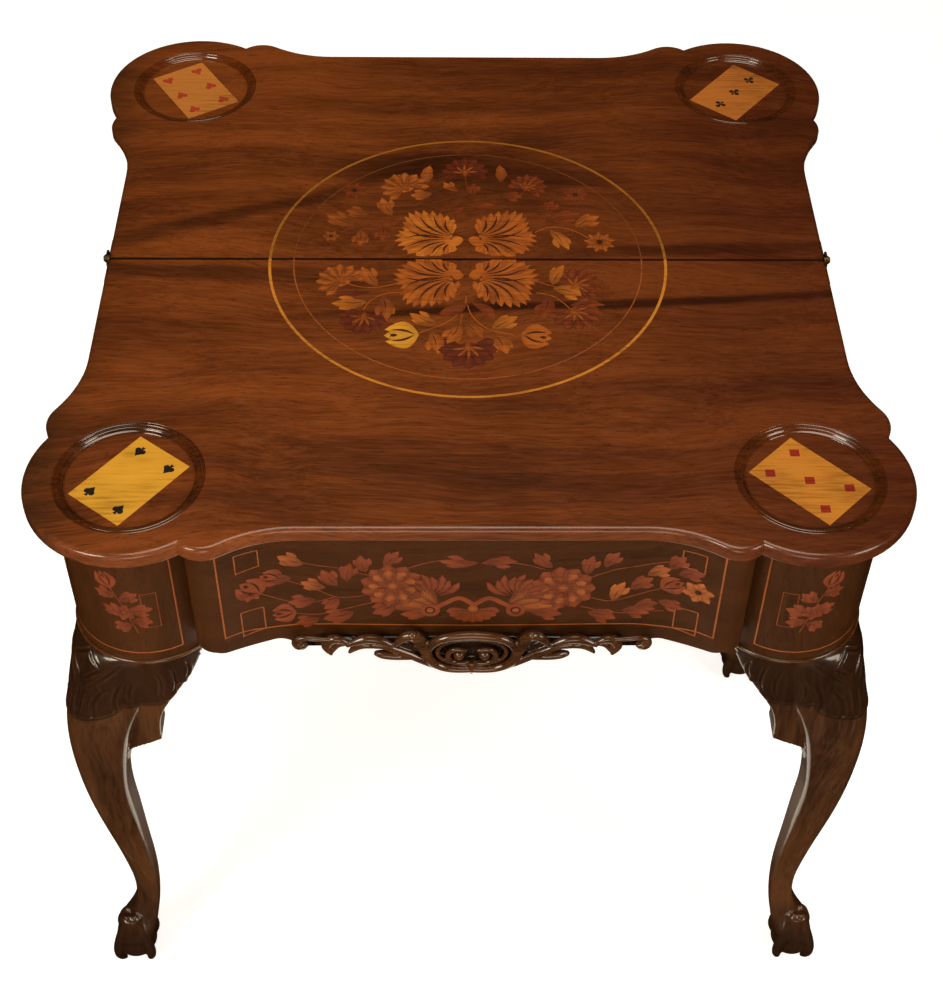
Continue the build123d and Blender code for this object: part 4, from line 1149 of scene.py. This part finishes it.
class CARDTABLE_OT_legs(bpy.types.Operator):
    """Carves the four cabriole legs with acanthus knees and clawed feet"""
    bl_idname = "cardtable.legs"
    bl_label = "Carved legs"

    # Reach from the foot's middle, height and thickness along each toe's sinew and claw, in millimetres
    sinew = ((4, 82, 4), (8.5, 66, 5.6), (14.5, 48, 6.6), (19.5, 28, 6.6), (18.5, 12, 5.4), (16.5, 3, 2.6))
    claw = ((17.5, 16, 3.6), (20, 9, 4.2), (17, 2.4, 1.8))
    # Middle angle, half width and drop of each lobe of a knee's carved skirt
    lobes = ((0, 22, 85), (41, 21, 70), (85, 24, 44))
    # Cuts in one half of a knee's leafage: angle from the corner and drop at each one's ends and middle
    cuts = (
        ((0, 3), (5, 8), (13, 15)), ((13, 17), (7, 24), (1, 34)), ((26, 9), (17, 22), (3, 46)),
        ((1, 48), (1, 64), (0, 80)), ((16, 42), (9, 58), (8, 82)), ((27, 30), (20, 54), (21, 78)),
        ((34, 30), (30, 46), (31, 60)), ((51, 16), (54, 38), (50, 62)), ((62, 10), (65, 34), (62, 54)),
        ((75, 12), (77, 24), (74, 36)), ((88, 8), (91, 20), (88, 34)), ((100, 6), (104, 18), (101, 30)),
    )

    def execute(self, context):
        leg_tones = tones("leg_dark", "leg_light")
        material = wood("carved_mahogany", leg_tones, "Z", 0.34, 0.65, 0.10, 0.6, (), True)
        # Body, post's middle, heading of the knee and foot of each leg
        for name, body, centre, out, foot in (
            ("front_left", "frame", (-CORNER_X, -CORNER_Y), (-1, -1), (-0.397, -0.37942)),
            ("front_right", "frame", (CORNER_X, -CORNER_Y), (1, -1), (0.397, -0.37942)),
            ("rear_right", "frame", (0.306, -0.033), (1, 1), (0.382, 0.043)),
            ("gate", "gate", (0.0615, 0.303), (1, 1), (0.1375, 0.379)),
        ):
            nodes = [name + "_leg", name + "_cross_bracket", name + "_side_bracket"]
            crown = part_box(nodes[1])[1].z
            lower = bmesh.new()
            for node in nodes:
                pour(lower, cut_copy(node, crown, False))
            self.claws(lower, Vector((*foot, 0)))
            skin = joined(lower, sizes().leg_voxel, 3)
            self.carve_knee(skin, Vector(centre), Vector(out), crown)
            pour(skin, cut_copy(nodes[0], crown, True))
            seat(skin, name + "_carved_leg", body, material, nodes)
        return {"FINISHED"}

    def claws(self, bm, foot):
        """Sinews, knuckles and claws over the foot's ball, with skin between them."""
        for way_x in (-1, 1):
            for way_y in (-1, 1):
                def spot(reach, height):
                    return foot + Vector((way_x * reach, way_y * reach, height)) * MM

                for line in (self.sinew, self.claw):
                    stroke(bm, [spot(reach, height) for reach, height, _ in line], [row[-1] for row in line])
        web = Matrix.Translation(foot + Vector((0, 0, 50 * MM)))
        bmesh.ops.create_cone(
            bm, cap_ends=True, segments=48, radius1=24.5 * MM, radius2=13.5 * MM, depth=58 * MM, matrix=web,
        )

    def carve_knee(self, bm, centre, out, crown):
        """Cuts a skirt of broad hollow lobes with thin lips and ribs round the knee and its brackets."""
        heading = atan2(out.y, out.x)
        hollow = bm.verts.layers.float.new("hollow")
        bm.normal_update()
        moves = []
        arcs = [[arc_spot(line, step / 6) for step in range(7)] for line in self.cuts]
        for vert in bm.verts:
            # The feet are darker towards the bottom
            vert[hollow] = 0.8 * (1.0 - smoothstep(FOOT_DARK_FULL, FOOT_DARK_END, vert.co.z))
            below = (crown - vert.co.z) / MM
            if not 0 <= below < KNEE_DROP:
                continue
            offset = vert.co.xy - centre
            angle = atan2(offset.y, offset.x) - heading
            angle = degrees((angle + pi) % (2 * pi) - pi)
            if abs(angle) > KNEE_HALF_TURN or vert.normal.xy.dot(offset.normalized()) < 0.12:
                continue
            height, depth = self.relief(angle, below, arcs)
            # Painted shade from the carving's relief
            vert[hollow] = depth
            moves.append((vert, vert.normal * height * MM))
        for vert, move in moves:
            vert.co += move

    def relief(self, angle, below, arcs):
        """The carving's height in millimetres and how dark it is painted, at an angle from the corner and a
        drop.
        """
        angle = abs(angle)
        edge = -100.0
        for middle, half, drop in self.lobes:
            share = abs(angle - middle) / half
            if share < 1.1:
                edge = max(edge, drop * (1.0 - 0.16 * share ** 3) - below)
        under = smoothstep(0.0, 4.0, below)
        inside = smoothstep(-0.9, 0.9, edge) * under
        spot = Vector((angle, below))
        away = 100.0
        along = 0.0
        for arc in arcs:
            for step, (start, end) in enumerate(zip(arc, arc[1:])):
                run = end - start
                share = min(1.0, max(0.0, (spot - start).dot(run) / run.length_squared))
                off = spot - start - run * share
                reach = hypot(DEGREE * off.x, off.y)
                if reach < away:
                    away = reach
                    along = (step + share) / 6
        taper = max(0.0, sin(pi * along)) ** 0.5 * inside
        cut = bell(away, 0.0, 1.1) * taper
        ridge = bell(away, 2.4, 1.0) * taper
        lip = bell(edge, 1.6, 1.5) * under
        shadow = bell(edge, -1.2, 1.1)
        height = 0.7 * inside + 0.9 * lip + 0.9 * ridge - 1.8 * cut
        # Painted shade: the skirt darker, its cuts darker still, a shadow under the lip; ridges and lip
        # lighter
        return height, max(0.72 * inside - 0.25 * ridge - 0.25 * lip, 0.9 * cut, 0.8 * shadow)


class CARDTABLE_OT_apron_carving(bpy.types.Operator):
    """Carves the cartouche and leafy arms under the apron"""
    bl_idname = "cardtable.apron_carving"
    bl_label = "Apron carving"

    # In millimetres: how far back each right-hand limb lies, and the x, height and thickness along it
    limbs = (
        (0.0, ((0, 561.5, 3.8), (17, 560, 4.4), (34, 566, 4.8), (43, 578, 5.0), (44, 592, 5.0),
               (35, 606, 4.8), (18, 613, 4.8), (0, 614, 4.8))),
        (3.5, ((0, 569, 2.2), (15, 568, 2.4), (29, 574, 2.4), (35, 585, 2.4), (30, 599, 2.4), (15, 605, 2.2),
               (0, 606, 2.2))),
        (2.0, ((2, 572, 2.4), (10, 569, 2.8), (22, 573, 3.0), (24, 586, 3.0), (15, 594, 2.8),
               (5, 590, 2.2))),
        (0.5, ((75, 600, 2.4), (69, 609, 4.6), (59, 613, 6.2), (52, 606, 7.6), (47, 595, 7.4),
               (44, 583, 5.8), (39, 572, 3.2))),
        (7.0, ((50, 586, 5.0), (60, 590, 6.0), (70, 597, 5.0))),
        (2.0, ((98, 600, 2.6), (84, 596, 4.0), (69, 587, 4.8), (53, 576, 5.0), (38, 566, 4.4),
               (22, 559.5, 4.0), (8, 559, 3.0))),
        (1.5, ((58, 580, 3.0), (70, 579.5, 4.4), (82, 580.5, 5.0), (90, 583, 4.6), (94, 587, 2.6))),
        (0.5, ((76, 599, 2.6), (86, 605, 4.4), (98, 608, 5.6), (110, 606, 5.0), (122, 600, 2.2))),
        (2.5, ((82, 595, 2.6), (95, 597, 4.4), (107, 597, 5.2), (115, 592, 4.2), (120, 587, 1.4))),
        (1.0, ((120, 603, 2.2), (128, 608, 4.4), (137, 606, 5.8), (142, 598, 6.0), (140, 591, 4.0),
               (136, 586, 1.4))),
        (3.5, ((121, 599, 2.2), (128, 599, 4.2), (133, 594, 4.0), (135, 588, 1.6))),
        (2.0, ((138, 608, 2.2), (150, 609, 2.6), (162, 610, 3.2), (171, 605, 4.0), (171, 597, 4.4),
               (164, 594, 4.2), (161, 600, 3.0))),
    )
    # x, height, radius and how far back each ball lies
    knobs = ((12.5, 582, 5.8, 0.4), (58, 613, 5.4, 0.0), (166, 598, 4.6, 0.8))
    # Height and thickness along the drop at the foot of the cartouche
    drop = ((572, 6.0), (562, 5.4), (552, 1.8))
    # The cartouche's middle, to the right of the table's
    middle = 2.5 * MM
    # How far in front of the hinge line the ornament's foremost parts stand, and its ground
    crest = -0.3855
    ground = -0.3745
    # Where the ground's arms begin, the heights they keep between, and its middle's shoulder and top
    arm_start = 0.064
    arm_low = 0.5895
    arm_high = 0.598
    shoulder = 0.582
    middle_high = 0.604

    def execute(self, context):
        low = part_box("apron_carving")[0]
        bm = cut_copy("apron_carving", low.z - 1 * MM, True)
        saw(bm, (0, self.ground, 0), (0, -1, 0))
        close(bm)
        for vert in bm.verts:
            if abs(vert.co.x) > self.arm_start:
                vert.co.z = min(max(vert.co.z, self.arm_low), self.arm_high)
            elif vert.co.z < self.shoulder:
                vert.co.x *= 0.90
                vert.co.z += 0.22 * (self.shoulder - vert.co.z)
            else:
                vert.co.z = min(vert.co.z, self.middle_high)
        for back, points in self.limbs:
            for way in (-1, 1):
                spots = [self.spot(way * x, back + size, z) for x, z, size in points]
                stroke(bm, spots, [row[-1] for row in points])
        for x, z, radius, back in self.knobs:
            for way in (-1, 1):
                place = Matrix.Translation(self.spot(way * x, back + radius, z))
                bmesh.ops.create_icosphere(bm, subdivisions=3, radius=radius * MM, matrix=place)
        stroke(bm, [self.spot(0, 6, z) for z, _ in self.drop], [row[-1] for row in self.drop])
        skin = joined(bm, sizes().carving_voxel, 1)
        hollow = skin.verts.layers.float.new("hollow")
        # Painted shade: the further a spot lies behind the crest, the darker it is
        for vert in skin.verts:
            vert[hollow] = 0.9 * smoothstep(4 * MM, 9 * MM, vert.co.y - self.crest)
        leg_tones = tones("leg_dark", "leg_light")
        material = wood("carving_mahogany", leg_tones, "X", 0.24, 0.7, 0.10, 0.8, (), True)
        seat(skin, "carved_apron_ornament", "frame", material, ["apron_carving"])
        return {"FINISHED"}

    def spot(self, x, back, z):
        return Vector((self.middle + x * MM, self.crest + back * MM, z * MM))


class CARDTABLE_OT_frame_woods(bpy.types.Operator):
    """Finishes the apron, turrets, rails, blocks and knuckle joint"""
    bl_idname = "cardtable.frame_woods"
    bl_label = "Frame woods"

    def execute(self, context):
        apron_tones = tones("apron_dark", "apron_light")
        apron = wood("apron_veneer_polished", apron_tones, "X", 0.36, 0.32, 0.14, 0.9)
        finish_node(apron, "front_rail", "left_side_rail", "right_side_rail")
        turret = wood("turret_veneer_polished", apron_tones, "Z", 0.36, 0.45, 0.14, 0.9)
        finish_node(turret, "left_turret", "right_turret")
        timber = wood("back_timber_planed", tones("back_dark", "back_light"), "X", 0.62, 0.0, 0.3, 0.8)
        finish_node(timber, "inner_back_rail", "screw_blocks", "corner_blocks")
        mahogany = wood("back_rail_mahogany", tones("leg_dark", "leg_light"), "X", 0.45, 0.2, 0.2, 0.9)
        finish_node(mahogany, "outer_back_rail", "gate_rail")
        return {"FINISHED"}


class CARDTABLE_OT_hardware(bpy.types.Operator):
    """Finishes the hinges, pins and screws"""
    bl_idname = "cardtable.hardware"
    bl_label = "Hinges, pins and screws"

    def execute(self, context):
        metal = brass("worn_brass", tuple(colours().brass))
        for side in ("left", "right"):
            finish_node(metal, side + "_hinge_fixed_plate", side + "_hinge_flap_plate", side + "_hinge_pin")
        finish_node(metal, "hinge_fixed_screws", "hinge_flap_screws")
        iron = brass("dark_iron", tuple(colours().iron))
        finish_node(iron, "gate_pin", "leaf_screws", "back_rail_screws")
        return {"FINISHED"}


class CARDTABLE_PT_panel(bpy.types.Panel):
    """Lists the steps that dress the card table"""
    bl_idname = "CARDTABLE_PT_panel"
    bl_label = "Card Table"
    bl_space_type = "VIEW_3D"
    bl_region_type = "UI"
    bl_category = "Card Table"

    def draw(self, context):
        layout = self.layout
        for step in STEPS:
            layout.operator(step.bl_idname)
        for group in (context.scene.card_table_colours, context.scene.card_table_sizes):
            for name in group.__annotations__:
                layout.prop(group, name)


STEPS = (
    CARDTABLE_OT_stage,
    CARDTABLE_OT_leaves,
    CARDTABLE_OT_cards,
    CARDTABLE_OT_stringing,
    CARDTABLE_OT_top_marquetry,
    CARDTABLE_OT_frame_woods,
    CARDTABLE_OT_apron_marquetry,
    CARDTABLE_OT_turrets,
    CARDTABLE_OT_legs,
    CARDTABLE_OT_apron_carving,
    CARDTABLE_OT_hardware,
)
CLASSES = (CardTableColours, CardTableSizes, *STEPS, CARDTABLE_PT_panel)


def register():
    for group in CLASSES:
        bpy.utils.register_class(group)
    bpy.types.Scene.card_table_colours = bpy.props.PointerProperty(type=CardTableColours)
    bpy.types.Scene.card_table_sizes = bpy.props.PointerProperty(type=CardTableSizes)


def unregister():
    del bpy.types.Scene.card_table_sizes
    del bpy.types.Scene.card_table_colours
    for group in reversed(CLASSES):
        bpy.utils.unregister_class(group)


def main():
    register()
    bpy.ops.cardtable.stage()
    bpy.ops.cardtable.leaves()
    bpy.ops.cardtable.cards()
    bpy.ops.cardtable.stringing()
    bpy.ops.cardtable.top_marquetry()
    bpy.ops.cardtable.frame_woods()
    bpy.ops.cardtable.apron_marquetry()
    bpy.ops.cardtable.turrets()
    bpy.ops.cardtable.legs()
    bpy.ops.cardtable.apron_carving()
    bpy.ops.cardtable.hardware()


if __name__ == "__main__":
    main()
